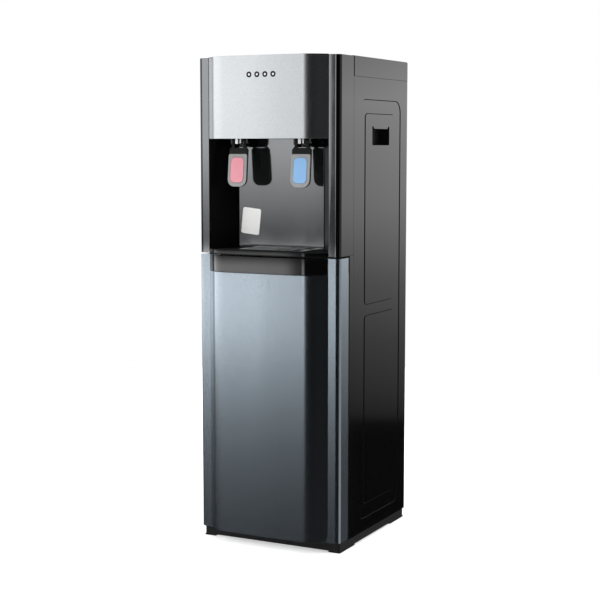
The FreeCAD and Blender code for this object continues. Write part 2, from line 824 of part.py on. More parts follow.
def niche_liner():
    body = new_body("niche_liner")
    # floor, which follows the bulge at the front
    pad(body, "XY", "split_height + frame_plate", "niche_floor", [
        bulge_to_back("0", "front_plane + wall + seat_gap", "0")])
    pad(body, "XY", "split_height + frame_plate", "ceiling_top", [
        niche_outline("wall", "front_plane + wall + seat_gap")])
    pocket(body, "XY", "niche_floor", "ceiling", [niche_outline("0", "front_plane - 1")])
    # ceiling inside the fascia
    pad(body, "XY", "ceiling", "ceiling_top", [
        bulge_to_back("wall + seat_gap", "front_plane + wall + seat_gap + 2", "seat_gap")])
    pocket(body, "XY", "ceiling - 0.5", "ceiling_top", circles=[
        (("-tap_x", "spout_y"), "spout_diameter / 2 + seat_gap"),
        (("tap_x", "spout_y"), "spout_diameter / 2 + seat_gap")])
    pocket(body, "XY", "split_height + frame_plate + 1", "niche_floor + 1", [
        bevelled("-tray_width / 2 - seat_gap", "tray_width / 2 + seat_gap",
                 "tray_front - seat_gap", "tray_rear + seat_gap", "tray_bevel")])
    # room for the side flanges of the fascia
    for side in (-1, 1):
        near, far = "%d * (bulge_half - wall - 2 * seat_gap)" % side, "%d * half_width" % side
        pocket(body, "XY", "fascia_bottom - seat_gap", "ceiling_top", [
            rectangle(*((far, near) if side < 0 else (near, far)),
                      "front_plane - wall", "fascia_back + seat_gap")])
    # housing behind each spout, with two cheeks that carry the lever pins
    for side in (-1, 1):
        pad(body, "YZ", "%d * tap_x - lever_neck / 2" % side, "%d * tap_x + lever_neck / 2" % side, [
            rectangle("spout_y + spout_diameter / 2 + spout_clearance", "niche_back + wall / 2",
                      "spout_bottom - 1", "ceiling + 1")])
        for hand in (-1, 1):
            near = "%d * tap_x + %d * (lever_neck / 2 - ear_thickness)" % (side, hand)
            far = "%d * tap_x + %d * lever_neck / 2" % (side, hand)
            low, high = (far, near) if hand < 0 else (near, far)
            pad(body, "YZ", low, high, [
                [("pivot_y - ear_width / 2", "ceiling + 1"), ("niche_back + wall / 2", "ceiling + 1"),
                 ("niche_back + wall / 2", "spout_bottom - 1"), ("pivot_y + ear_width", "spout_bottom - 1"),
                 ("pivot_y + ear_width / 2", "pivot_z - ear_width / 2"),
                 ("pivot_y - 2", "pivot_z - ear_width / 2"), ("pivot_y - ear_width / 2", "pivot_z - 1")]])
    pocket(body, "YZ", "-half_width", "half_width",
           circles=[(("pivot_y", "pivot_z"), "pin_diameter / 2 + pin_clearance")])


def fascia_panel():
    body = new_body("fascia_panel")
    pad(body, "XY", "fascia_bottom", "total_height", [
        bulge_to_back("0", "fascia_back", "seat_gap")])
    pocket(body, "XY", "fascia_bottom - 1", "total_height + 1", [
        bulge_to_back("wall", "fascia_back + 1", "seat_gap")])
    first = "-light_pitch * (light_count - 1) / 2"
    hole = pocket(body, "XZ", "bulge_front - 1", "bulge_front + 2 * wall",
                  circles=[((first, "light_z"), "bezel_diameter / 2 + light_clearance")])
    repeat_straight(body, hole, "X", "light_pitch * (light_count - 1)", "light_count")


def light_x(index):
    return "light_pitch * (%d - (light_count - 1) / 2)" % index


def indicator_lights():
    """Black ring and light pipe for each indicator, both reaching back to the board."""
    bezels, lenses = [], []
    back = "bulge_front + board_setback"
    for index in range(int(value("light_count"))):
        spot = (light_x(index), "light_z")
        ring = rod("Y", spot, "bulge_front", back, "bezel_diameter")
        bore = rod("Y", spot, "bulge_front - 1", back + " + 1", "lens_diameter + 0.1")
        bezels.append(cut(ring, bore))
        lenses.append(rod("Y", spot, "bulge_front + 0.2", back, "lens_diameter"))
    group("indicator_bezels", *bezels)
    group("indicator_lenses", *lenses)


def control_board():
    back = "bulge_front + board_setback"
    plate = block("-board_width / 2", "board_width / 2", back, back + " + board_thickness",
                  "light_z - board_height / 2", "light_z + board_height / 2")
    chip = block("-8", "8", back + " + board_thickness", back + " + board_thickness + 3",
                 "light_z - 6", "light_z + 6")
    plug = block("20", "36", back + " + board_thickness", back + " + board_thickness + 7",
                 "light_z - 11", "light_z - 4")
    node(join(plate, chip, plug), "control_board")


# ---------------------------------------------------------------------------- taps

def taps():
    bodies, spouts, pins = [], [], []
    for side in (-1, 1):
        x = "%d * tap_x" % side
        spot = (x, "spout_y")
        top = "ceiling_top + tap_height"
        housing = rod("Z", spot, "ceiling_top", top, "tap_diameter")
        port = rod("Z", spot, top, top + " + port_height", "tube_diameter + 2")
        bodies.append(join(housing, port))
        tube = rod("Z", spot, "spout_bottom + spout_diameter / 2", "ceiling_top", "spout_diameter")
        dome = ball(spot + ("spout_bottom + spout_diameter / 2",), "spout_diameter")
        bore = rod("Z", spot, "spout_bottom - 1", "ceiling_top - 2", "spout_bore")
        edge = x + " - spout_diameter / 2"
        lug = block(edge, edge + " + spout_lug", "spout_y - spout_lug_reach", "spout_y",
                    "spout_bottom + spout_lug", "ceiling - 0.5")
        spouts.append(cut(join(tube, dome, lug), bore))
        for hand in (-1, 1):
            inner = "%s + %d * (spout_diameter / 2 + spout_clearance + 0.2)" % (x, hand)
            outer = "%s + %d * (lever_neck / 2 + 1)" % (x, hand)
            low, high = (outer, inner) if hand < 0 else (inner, outer)
            pins.append(rod("X", ("pivot_y", "pivot_z"), low, high, "pin_diameter"))
    group("tap_bodies", *bodies)
    group("tap_spouts", *spouts)
    group("lever_pins", *pins)


def place_on_pivot(thing, side):
    """Hang a lever piece, drawn about its pivot, from the tap's pin with its tilt."""
    return move(thing, "%d * tap_x" % side, "pivot_y", "pivot_z", (1, 0, 0), -value("lever_tilt"))


def tap_lever(label, side):
    """Black lever: two arms on the cheeks' pins and a blade that widens downwards."""
    body = new_body(label)
    half, neck = "lever_width / 2", "(lever_neck / 2 - ear_thickness - seat_gap)"
    shoulder = "-lever_neck_drop"
    pad(body, "XZ", "-lever_front + pad_thickness", "-lever_front + pad_thickness + lever_thickness", [[
        ("-" + neck, "lever_rise"), ("-" + neck, shoulder + " + 6", 3),
        ("-(%s)" % half, shoulder, 4), ("-(%s)" % half, "-lever_length", "pad_radius"),
        (half, "-lever_length", "pad_radius"), (half, shoulder, 4), (neck, shoulder + " + 6", 3),
        (neck, "lever_rise")]])
    pad(body, "YZ", "-" + neck, neck, circles=[(("0", "0"), "lever_boss / 2")])
    pad(body, "YZ", "-" + neck, neck, [
        rectangle("-lever_front + pad_thickness", "0", "-lever_boss / 2 + 1", "lever_rise")])
    pad(body, "YZ", "-ear_thickness / 2", "ear_thickness / 2", [[
        ("-lever_front + pad_thickness + 1", "0"), ("lever_boss / 4", "-lever_boss / 4"),
        ("-lever_front + pad_thickness + lever_thickness", "-lever_length * 0.7"),
        ("-lever_front + pad_thickness + 1", "-lever_length * 0.7")]])
    # notch that leaves two arms either side of the spout
    gap = "(spout_diameter / 2 + spout_clearance)"
    pocket(body, "YZ", "-" + gap, gap, [
        rectangle("-2 * lever_front", "lever_boss", "spout_bottom - pivot_z - lever_notch", "2 * lever_rise")])
    pocket(body, "YZ", "-half_width", "half_width", circles=[
        (("0", "0"), "pin_diameter / 2 + pin_clearance")])
    place_on_pivot(body, side)


def lever_pad(label, side):
    """Grey rimmed plate with the seat for the coloured insert."""
    body = new_body(label)
    low, high = "-lever_length", "-lever_length + pad_height"
    pad(body, "XZ", "-lever_front", "-lever_front + pad_thickness", [[
        ("-lever_width / 2", high, 4), ("-lever_width / 2", low, "pad_radius"),
        ("lever_width / 2", low, "pad_radius"), ("lever_width / 2", high, 4)]])
    pocket(body, "XZ", "-lever_front", "-lever_front + insert_depth", [
        rectangle("-insert_width / 2 - 0.3", "insert_width / 2 + 0.3", low + " + insert_rise - 0.3",
                  low + " + insert_rise + insert_height + 0.3", "insert_radius + 0.3")])
    place_on_pivot(body, side)


def lever_insert(label, side):
    body = new_body(label)
    low = "-lever_length + insert_rise"
    pad(body, "XZ", "-lever_front - insert_proud", "-lever_front + insert_depth", [
        rectangle("-insert_width / 2", "insert_width / 2", low, low + " + insert_height",
                  "insert_radius")])
    place_on_pivot(body, side)


# ----------------------------------------------------------------------- drip tray

def bevelled(x0, x1, y0, y1, bevel):
    """Corners of a rectangle in plan with its four corners cut off."""
    return [("%s + (%s)" % (x0, bevel), y0), ("%s - (%s)" % (x1, bevel), y0),
            (x1, "%s + (%s)" % (y0, bevel)), (x1, "%s - (%s)" % (y1, bevel)),
            ("%s - (%s)" % (x1, bevel), y1), ("%s + (%s)" % (x0, bevel), y1),
            (x0, "%s - (%s)" % (y1, bevel)), (x0, "%s + (%s)" % (y0, bevel))]


def drip_tray():
    body = new_body("drip_tray")
    floor = "split_height + frame_plate + 1"
    outline = ("-tray_width / 2", "tray_width / 2", "tray_front", "tray_rear")
    inset = ("-tray_width / 2 + tray_skin", "tray_width / 2 - tray_skin",
             "tray_front + tray_skin", "tray_rear - tray_skin")
    pad(body, "XY", floor, "niche_floor + 1", [bevelled(*outline, "tray_bevel")])
    pocket(body, "XY", floor + " + tray_skin", "niche_floor + 2", [
        bevelled(*inset, "tray_bevel - tray_skin / 2")])


def drip_grille():
    body = new_body("drip_grille")
    top = "niche_floor + 1"
    edge = "tray_skin + seat_gap"
    pad(body, "XY", top + " - grille_thickness", top, [
        bevelled("-tray_width / 2 + " + edge, "tray_width / 2 - (%s)" % edge,
                 "tray_front + " + edge, "tray_rear - (%s)" % edge, "tray_bevel - tray_skin / 2")])
    for side in (-1, 1):
        foot = "%d * (tray_width / 2 - 12)" % side
        pad(body, "XY", "split_height + frame_plate + 1 + tray_skin", top + " - 1", [
            rectangle(foot + " - 2", foot + " + 2", "tray_front + 8", "tray_rear - 8")])
    pitch = "((tray_width - 22) / grille_slots)"
    slot = pocket(body, "XY", top + " - grille_thickness", top, [
        rectangle("-%s * (grille_slots - 1) / 2 - grille_slot_width / 2" % pitch,
                  "-%s * (grille_slots - 1) / 2 + grille_slot_width / 2" % pitch,
                  "tray_front + 7", "tray_rear - 7")])
    repeat_straight(body, slot, "X", pitch + " * (grille_slots - 1)", "grille_slots")


# ---------------------------------------------------------------------------- door

def door_shell():
    body = new_body("door_shell")

    def plan(inset, rear, rear_radius):
        side = "(half_width - (%s))" % inset
        front = ("front_plane + (%s)" % inset, "pillar_radius - (%s)" % inset)
        corners = [("-" + side, rear), ("-" + side,) + front, (side,) + front, (side, rear)]
        if rear_radius:
            corners[0] += (rear_radius,)
            corners[3] += (rear_radius,)
        return corners
    pad(body, "XY", "door_bottom", "door_top", [plan("0", "door_rear", "door_rear_radius")])
    pocket(body, "XY", "door_bottom + wall", "door_top - wall", [plan("wall", "door_rear + 1", None)])
    pocket(body, "XY", "door_bottom - 1", "door_top + 1",
           circles=[(("hinge_x", "hinge_y"), "hinge_pin / 2 + pin_clearance")])
    # finger recess in the free edge
    pocket(body, "XY", "door_band_low + 3", "door_top + 1", [
        rectangle("half_width - 2 * wall", "half_width + 1", "door_rear - notch_depth", "door_rear + 1")])


def door_panel():
    body = new_body("door_panel")
    low, high = "door_bottom + door_panel_rise", "door_band_low - seat_gap"
    pad(body, "XZ", "bulge_front - 1", "front_plane", [[
        ("-bulge_half", high), ("-bulge_half", low, "door_panel_radius"),
        ("bulge_half", low, "door_panel_radius"), ("bulge_half", high)]])
    pocket(body, "XY", "door_bottom - 5", "door_top", [
        rectangle("-half_width", "half_width", "bulge_front - 5", "front_plane + 5"), bulge_on_plane("0")])
    pocket(body, "XY", low + " + door_panel_radius + wall", high + " - wall", [
        bulge_on_plane("wall")])


def door_band():
    """Black band across the top of the door, with the same bulge."""
    body = new_body("door_band")
    pad(body, "XY", "door_band_low", "door_top", [bulge_on_plane("0")])
    pocket(body, "XY", "door_band_low + wall", "door_top - wall", [bulge_on_plane("wall")])


def door_liner():
    body = new_body("door_liner")
    half = "half_width - wall - seat_gap"
    low, high = "door_bottom + wall + seat_gap", "door_top - wall - seat_gap"
    pad(body, "XZ", "door_rear - wall - 0.5", "door_rear - 0.5", [
        [("-(%s)" % half, low), (half, low), (half, "door_band_low - seat_gap"),
         (half + " - 2 * wall", "door_band_low - seat_gap"), (half + " - 2 * wall", high),
         ("-(%s)" % half, high)]])
    pad(body, "XZ", "door_rear - wall - liner_emboss - 0.5", "door_rear - wall - 0.5", [
        rectangle("-mouth_half_width + 20", "mouth_half_width - 20", low + " + 40", high + " - 60",
                  "emboss_radius")])
    pocket(body, "XZ", "door_rear - wall - liner_emboss + 1.5", "door_rear", [
        rectangle("-mouth_half_width + 22", "mouth_half_width - 22", low + " + 42", high + " - 62",
                  "emboss_radius - 2")])
    seats = []
    for level in ("magnet_z0", "magnet_z1"):
        seats.append(rectangle("magnet_x0 - seat_gap", "magnet_x1 + seat_gap",
                               level + " - seat_gap", level + " + magnet_length + seat_gap"))
    pocket(body, "XZ", "door_rear - wall - 0.5", "door_rear", seats)


def door_magnets():
    """Magnets in the door, and the steel plates on the cabinet that they pull."""
    blocks, strikes = [], []
    for level in ("magnet_z0", "magnet_z1"):
        top = level + " + magnet_length"
        blocks.append(block("magnet_x0", "magnet_x1", "door_rear - magnet_depth", "door_rear", level, top))
        strikes.append(block("magnet_x0", "magnet_x1", "lower_frame_front - strike_thickness",
                             "lower_frame_front", level, top))
    group("door_magnets", *blocks)
    group("strike_plates", *strikes)


def hinge_pins():
    pins = []
    spot = ("hinge_x", "hinge_y")
    for base, tip, plate_low, plate_high in (
            ("plinth_height", "door_bottom + hinge_engagement", "plinth_height",
             "plinth_height + hinge_plate"),
            ("door_top - hinge_engagement", "split_height", "split_height - hinge_plate",
             "split_height")):
        pin = rod("Z", spot, base, tip, "hinge_pin")
        plate = block("hinge_x - 3", "hinge_x + hinge_plate_length", "hinge_y - 6", "hinge_y + 6",
                      plate_low, plate_high)
        pins.append(join(pin, plate))
    group("hinge_pins", *pins)


# --------------------------------------------------------------- bottle compartment

def bottle_tray():
    body = new_body("bottle_tray")
    half = "inner_half - seat_gap"
    top = "plinth_height + bottle_tray_thickness"
    pad(body, "XY", "plinth_height", top, [
        rectangle("-(%s)" % half, half, "frame_rear + seat_gap", "rear_inner - seat_gap", 3)])
    # four angled stops that centre the bottle
    stops = []
    for across in (-1, 1):
        for along in (-1, 1):
            near = "(%d) * bottle_stop" % across, "compartment_y + (%d) * bottle_stop" % along
            ahead = "(%d) * (bottle_stop + stop_width)" % across
            aside = "compartment_y + (%d) * (bottle_stop - stop_length)" % along
            stop = [near, (near[0], aside), (ahead, aside), (ahead, near[1])]
            stops.append(stop if across * along < 0 else stop[::-1])
    pad(body, "XY", top, top + " + bottle_stop_rise", stops)


def mid_deck():
    body = new_body("mid_deck")
    half = "inner_half - seat_gap"
    pad(body, "XY", "deck_bottom", "deck_top", [
        rectangle("-(%s)" % half, half, "deck_front", "rear_inner - seat_gap")])
    pocket(body, "XY", "deck_bottom", "deck_top",
           circles=[(("probe_x", "probe_y"), "tube_diameter / 2 + 1.3")])


def probe():
    spot = ("probe_x", "probe_y")
    bottom = "probe_cap_top - probe_cap_height"
    cap = new_body("probe_cap")
    turn(cap, [("0", bottom), ("probe_cap_diameter / 2", bottom),
               ("probe_cap_diameter / 2", "probe_cap_top - 6"), ("tube_diameter", "probe_cap_top - 6"),
               ("tube_diameter", "probe_cap_top"), ("0", "probe_cap_top")])
    move(cap, "probe_x", "probe_y", "0")
    tube_low = bottom + " - probe_tube_length"
    tube = rod("Z", spot, tube_low, bottom, "probe_tube_diameter")
    slot = block("probe_x - 20", "probe_x + 20", "probe_y - 1.5", "probe_y + 1.5",
                 tube_low + " - 1", tube_low + " + 12")
    node(cut(tube, slot), "probe_tube")
    node(rod("Z", spot, "probe_cap_top", "deck_top + pump_base", "tube_diameter"), "probe_hose")
    ring = rod("Z", spot, "clip_level", "clip_level + clip_height", "probe_tube_diameter + 6")
    arm = block("probe_x - 4", "probe_x + 4", "probe_y + probe_tube_diameter / 2 + 1", "rear_inner",
                "clip_level", "clip_level + clip_height")
    bore = rod("Z", spot, "clip_level - 1", "clip_level + clip_height + 1", "probe_tube_diameter + 0.6")
    mouth = block("probe_x - 5", "probe_x + 5", "probe_y - 16", "probe_y - 3",
                  "clip_level - 1", "clip_level + clip_height + 1")
    node(cut(join(ring, arm), bore, mouth), "probe_clip")


# -------------------------------------------------------------- tanks, pump, cooling

def tank(label, x, y, diameter, floor, top):
    """Drawn steel tank with a rim round its lid and an open port on top."""
    body = new_body(label)
    radius, mouth = diameter + " / 2", top + " + 2 * port_height"
    port, bore = "tube_diameter / 2 + tank_wall", "tube_diameter / 2"
    turn(body, [
        ("0", floor), (radius, floor), (radius, top + " + tank_rim"),
        (radius + " - tank_wall", top + " + tank_rim"), (radius + " - tank_wall", top), (port, top),
        (port, mouth), (bore, mouth), (bore, top + " - tank_wall"),
        (radius + " - tank_wall", top + " - tank_wall"),
        (radius + " - tank_wall", floor + " + tank_wall"), ("0", floor + " + tank_wall")])
    move(body, x, y, "0")


def hot_side():
    x = "-tap_x"
    spot = (x, "hot_tank_y")
    base = "deck_top"
    inner = "hot_tank_diameter + 2 * seat_gap"
    outer = "hot_tank_diameter + 2 * jacket_thickness"
    shell = rod("Z", spot, base, base + " + jacket_height", outer)
    hollow = rod("Z", spot, base + " + jacket_thickness", base + " + jacket_height + 1", inner)
    node(cut(shell, hollow), "hot_tank_jacket")
    floor = base + " + jacket_thickness"
    tank("hot_tank", x, "hot_tank_y", "hot_tank_diameter", floor, floor + " + hot_tank_height")


def cold_side():
    insulation = new_body("cold_tank_insulation")
    spot = ("tap_x", "cold_tank_y")
    pad(insulation, "XY", "deck_top", "deck_top + block_height", [
        rectangle("block_left", "block_right", "block_front", "block_rear", 12)])
    pocket(insulation, "XY", "deck_top + block_floor", "deck_top + block_height + 1",
           circles=[(spot, "cold_tank_diameter / 2 + seat_gap")])
    floor = "deck_top + block_floor"
    tank("cold_tank", "tap_x", "cold_tank_y", "cold_tank_diameter", floor, floor + " + cold_tank_height")


def elbow(x, y, z):
    """Push-on elbow fitting where a tube turns a corner."""
    half = "elbow_size / 2"
    spans = []
    for text in (x, y, z):
        spans += ["%s - %s" % (text, half), "%s + %s" % (text, half)]
    return block(*spans)


def outlet_tube(label, side, tank_y, tank_top):
    """Silicone tube from a tank's top port over to the tap above the ceiling."""
    x = "%d * tap_x" % side
    node(join(
        rod("Z", (x, tank_y), tank_top + " + 2 * port_height", "tube_rise", "tube_diameter"),
        elbow(x, tank_y, "tube_rise"),
        rod("Y", (x, "tube_rise"), "spout_y", tank_y, "tube_diameter"),
        elbow(x, "spout_y", "tube_rise"),
        rod("Z", (x, "spout_y"), "ceiling_top + tap_height + port_height", "tube_rise", "tube_diameter")),
        label)


def cooling_stack():
    half = "module_width / 2"
    node(block("tap_x - " + half, "tap_x + " + half, "block_rear", "sink_front",
               "fan_level - " + half, "fan_level + " + half), "thermoelectric_module")
    sink = new_body("heat_sink")
    span = "sink_width / 2"
    pad(sink, "XZ", "sink_front", "sink_front + sink_base", [
        rectangle("tap_x - " + span, "tap_x + " + span, "fan_level - " + span, "fan_level + " + span)])
    fin = pad(sink, "XZ", "sink_front + sink_base", "fan_front", [
        rectangle("tap_x - " + span, "tap_x - %s + fin_thickness" % span,
                  "fan_level - " + span, "fan_level + " + span)])
    repeat_straight(sink, fin, "X", "sink_width - fin_thickness", "fin_count")


def fan_frame():
    body = new_body("fan_frame")
    span = "fan_size / 2"
    pad(body, "XY", "0", "fan_depth", [rectangle("-" + span, span, "-" + span, span)],
        [(("0", "0"), "fan_bore / 2")])
    pad(body, "XY", "0", "3", circles=[(("0", "0"), "fan_hub / 2 - 1")])
    strut = pad(body, "XY", "0", "3", [rectangle("fan_hub / 2 - 3", "fan_bore / 2 + 1", "-2.5", "2.5")])
    repeat_round(body, strut, "3")
    doc.recompute()
    pad(body, "XY", "3", "6", circles=[(("0", "0"), "fan_shaft / 2")])
    # the struts face the heat sink
    move(body, "tap_x", "fan_front", "fan_level", (1, 0, 0), -90)


def fan_rotor():
    """Hub with pitched blades that widen outwards."""
    body = new_body("fan_rotor")
    low, high = "4", "fan_depth - 2"
    turn(body, [("fan_shaft / 2 + pin_clearance", low), ("fan_hub / 2", low),
                ("fan_hub / 2", high), ("0", high), ("0", "7"),
                ("fan_shaft / 2 + pin_clearance", "7")])
    # a blade lies in a plane turned about its own radius by the pitch
    sketch = new_sketch(body, "XY", "(%s + %s) / 2" % (low, high), "blade_pitch")
    draw_loop(sketch, [
        ("fan_hub / 2 - 1", "-blade_root"), ("fan_bore / 2 - 14", "-blade_tip"),
        ("fan_bore / 2 - blade_clearance", "4 - blade_tip"),
        ("fan_bore / 2 - blade_clearance", "blade_tip - 6"),
        ("fan_bore / 2 - 14", "blade_tip - 3"), ("fan_hub / 2 - 1", "blade_root")])
    blade = body.newObject("PartDesign::Pad", "blade")
    blade.Profile = sketch
    blade.Midplane = True
    bind(blade, "Length", "blade_thickness")
    doc.recompute()
    repeat_round(body, blade, "fan_blades")
    move(body, "tap_x", "fan_front", "fan_level", (1, 0, 0), -90)


def pump():
    axis = ("pump_y", "pump_z")
    half = "pump_head / 2"
    head = block("pump_x", "pump_x + pump_length", "pump_y - " + half, "pump_y + " + half,
                 "pump_z - " + half, "pump_z + " + half)
    motor = rod("X", axis, "pump_x - pump_length", "pump_x", "pump_motor")
    foot = block("pump_x - pump_length + 4", "pump_x - 4", "pump_y - 16", "pump_y + 16",
                 "deck_top", "pump_z - pump_motor / 2 + 1.5")
    sole = block("pump_x - pump_length + 2", "pump_x + 8", "pump_y - 20", "pump_y + 20",
                 "deck_top", "deck_top + pump_base")
    port = rod("X", axis, "pump_x - pump_length - port_height", "pump_x - pump_length", "tube_diameter")
    node(join(head, motor, foot, sole, port), "water_pump")


def feed_tubes():
    """Two tubes from the pump: round to the hot tank, straight to the cold tank."""
    x0, x1 = "pump_x - pump_length - port_height", "feed_offset - tap_x"
    jacket = "(hot_tank_diameter / 2 + jacket_thickness)"
    y1 = "hot_tank_y + sqrt(%s ^ 2 - (feed_offset - tube_diameter / 2) ^ 2) + 0.1" % jacket
    node(join(
        rod("X", ("pump_y", "pump_z"), x1, x0, "tube_diameter"), elbow(x1, "pump_y", "pump_z"),
        rod("Y", (x1, "pump_z"), y1, "pump_y", "tube_diameter")), "hot_feed_tube")
    node(rod("Y", ("pump_x + pump_length / 2", "pump_z"), "block_rear", "pump_y - pump_head / 2",
             "tube_diameter"), "cold_feed_tube")


def power_supply():
    rear = "rear_inner - recess_depth - wall - supply_setback"
    left = "-inner_half + supply_side_gap"
    case = block(left, left + " + supply_length", rear + " - supply_width", rear,
                 "deck_top", "deck_top + supply_height")
    lid_slots = []
    for i in range(5):
        x = left + " + 14 * %d" % (i + 1)
        lid_slots.append(block(x + " - 1.5", x + " + 1.5", rear + " - supply_width + 10", rear + " - 10",
                               "deck_top + supply_height - 3", "deck_top + supply_height + 1"))
    node(cut(case, *lid_slots), "power_supply")


# ---------------------------------------------------------------------- rear fittings

def rear_fittings():
    spot = ("-recess_x", "recess_level")
    well_floor = "rear_face - recess_depth"
    pipe = rod("Y", spot, well_floor + " - wall - 12", well_floor + " + 9", "drain_diameter")
    flange = rod("Y", spot, well_floor, well_floor + " + 2", "drain_diameter + 8")
    bore = rod("Y", spot, well_floor + " - wall - 13", well_floor + " + 10", "drain_diameter - 5")
    node(cut(join(pipe, flange), bore), "drain_outlet")
    cap = rod("Y", spot, well_floor + " + 2.5", "rear_face - 1", "drain_cap_diameter")
    seat = rod("Y", spot, well_floor + " + 2", well_floor + " + 9.5", "drain_diameter + 0.12")
    node(cut(cap, seat), "drain_cap")
    gland_spot = ("-recess_x", "gland_level")
    rim = rod("Y", gland_spot, "rear_face", "rear_face + 2.5", "gland_diameter")
    neck = rod("Y", gland_spot, "rear_inner - 6", "rear_face", "gland_diameter - 6.4")
    hole = rod("Y", gland_spot, "rear_inner - 7", "rear_face + 3", "gland_bore")
    node(cut(join(rim, neck), hole), "cable_gland")
    frames = []
    for index, label in ((0, "heating_switch"), (1, "cooling_switch")):
        x = "-switch_x + %d * switch_pitch" % index
        half_w, half_h = "switch_width / 2", "switch_height / 2"
        rim = block(x + " - %s - 2" % half_w, x + " + %s + 2" % half_w, "rear_face",
                    "rear_face + 1.2", "switch_level - %s - 2" % half_h, "switch_level + %s + 2" % half_h)
        case = block(x + " - %s + 0.2" % half_w, x + " + %s - 0.2" % half_w, "rear_inner - 14",
                     "rear_face + 1", "switch_level - %s + 0.2" % half_h,
                     "switch_level + %s - 0.2" % half_h)
        room = block(x + " - %s + 1.2" % half_w, x + " + %s - 1.2" % half_w, "rear_inner - 9",
                     "rear_face + 2", "switch_level - %s + 1.2" % half_h,
                     "switch_level + %s - 1.2" % half_h)
        bearing = rod("X", ("rear_face - rocker_depth", "switch_level"), x + " - " + half_w,
                      x + " + " + half_w, "trunnion + 2 * pin_clearance")
        frames.append(cut(join(rim, case), room, bearing))
        rocker(label, x)
    group("switch_frames", *frames)


def rocker(label, x):
    """Rocker with a cranked face, turning on two trunnions along X."""
    body = new_body(label)
    half_w, half_h = "(switch_width / 2 - 1.6)", "(switch_height / 2 - 1.9)"
    pad(body, "YZ", "-" + half_w, half_w, [[
        ("-3.4", "-3"), ("0.6", "-%s + 0.6" % half_h), ("3.2", "-" + half_h), ("2", "0"),
        ("4", half_h), ("0.6", "%s - 0.6" % half_h), ("-3.4", "3")]])
    reach = "(switch_width / 2 - 0.6)"
    pad(body, "YZ", "-" + reach, reach, circles=[(("0", "0"), "trunnion / 2")])
    move(body, x, "rear_face - rocker_depth", "switch_level")


def rear_screws():
    """Hexagon washer-head screws down both edges of the rear panels."""
    screws = []
    for side in (-1, 1):
        for level in ("plinth_height + 12", "deck_top - 12", "deck_top + 12", "panel_top - 12"):
            head = doc.addObject("Part::Prism", "screw")
            head.Polygon = 6
            bind(head, "Circumradius", "screw_head / 2")
            bind(head, "Height", "screw_proud")
            screws.append(move(head, "%d * (inner_half - 9)" % side, "rear_face", level, (1, 0, 0), -90))
    group("rear_screws", *screws)


# ------------------------------------------------------------------------ build all

base_plinth()
base_feet()
side_panel("left_side_panel", -1)
side_panel("right_side_panel", 1)
handle_cups()
rear_lower_panel()
rear_upper_cover()
top_cover()
upper_front_frame()
lower_front_frame()
niche_liner()
fascia_panel()
indicator_lights()
control_board()
taps()
for name, hand in (("hot", -1), ("cold", 1)):
    tap_lever(name + "_lever", hand)
    lever_pad(name + "_lever_pad", hand)
    lever_insert(name + "_lever_insert", hand)
drip_tray()
drip_grille()
door_shell()
door_panel()
door_band()
door_liner()
door_magnets()
hinge_pins()
bottle_tray()
mid_deck()
probe()
hot_side()
cold_side()
outlet_tube("hot_outlet_tube", -1, "hot_tank_y", "deck_top + jacket_thickness + hot_tank_height")
outlet_tube("cold_outlet_tube", 1, "cold_tank_y", "deck_top + block_floor + cold_tank_height")
cooling_stack()
fan_frame()
fan_rotor()
pump()
feed_tubes()
power_supply()
rear_fittings()
rear_screws()
doc.recompute()

for thing in doc.Objects:
    if "Invalid" in thing.State or "Error" in thing.State:
        raise ValueError("failed: " + thing.Name + " " + thing.Label)
for thing in nodes:
    if thing.Shape.isNull() or not thing.Shape.isValid():
        raise ValueError("bad shape: " + thing.Label)

os.makedirs("parts", exist_ok=True)
for thing in nodes:
    thing.Shape.exportStep("parts/" + thing.Label + ".step")
print(len(nodes), "nodes written")
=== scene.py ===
"""Looks of a bottom load water cooler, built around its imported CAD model.

Metres, origin on the floor under the cooler, X to the right, Y to the back, Z up.
"""

import json
import math

import bmesh
import bpy
from mathutils import Matrix, Vector


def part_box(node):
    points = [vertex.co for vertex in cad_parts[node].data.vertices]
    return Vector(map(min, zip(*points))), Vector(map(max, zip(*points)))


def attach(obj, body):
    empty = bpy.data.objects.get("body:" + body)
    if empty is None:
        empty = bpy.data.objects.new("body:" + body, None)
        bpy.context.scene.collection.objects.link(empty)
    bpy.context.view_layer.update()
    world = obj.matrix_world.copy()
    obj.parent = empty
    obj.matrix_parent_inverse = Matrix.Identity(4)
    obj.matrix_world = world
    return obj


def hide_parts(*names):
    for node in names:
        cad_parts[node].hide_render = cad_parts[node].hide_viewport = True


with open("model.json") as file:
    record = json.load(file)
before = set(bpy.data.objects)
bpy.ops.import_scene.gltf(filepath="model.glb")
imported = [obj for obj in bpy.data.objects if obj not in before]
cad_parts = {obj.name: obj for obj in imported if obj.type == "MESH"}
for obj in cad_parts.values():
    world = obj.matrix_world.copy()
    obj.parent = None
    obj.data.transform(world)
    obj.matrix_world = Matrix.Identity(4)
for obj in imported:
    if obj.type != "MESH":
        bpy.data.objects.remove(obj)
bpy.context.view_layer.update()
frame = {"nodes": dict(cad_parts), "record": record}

MM = 0.001
CABINET = "cabinet"


# ------------------------------------------------------------------ shader helpers

def linear(code):
    """An sRGB hex colour as the linear RGBA that the sockets take."""
    parts = [int(code[i:i + 2], 16) / 255 for i in (1, 3, 5)]
    return tuple(c / 12.92 if c <= 0.04045 else ((c + 0.055) / 1.055) ** 2.4 for c in parts) + (1.0,)


def math_node(tree, operation, first, second=0.0):
    """A Math node whose two inputs are sockets or numbers."""
    made = add(tree, "ShaderNodeMath", operation=operation)
    for index, item in enumerate((first, second)):
        if isinstance(item, (int, float)):
            made.inputs[index].default_value = item
        else:
            tree.links.new(item, made.inputs[index])
    return made.outputs["Value"]


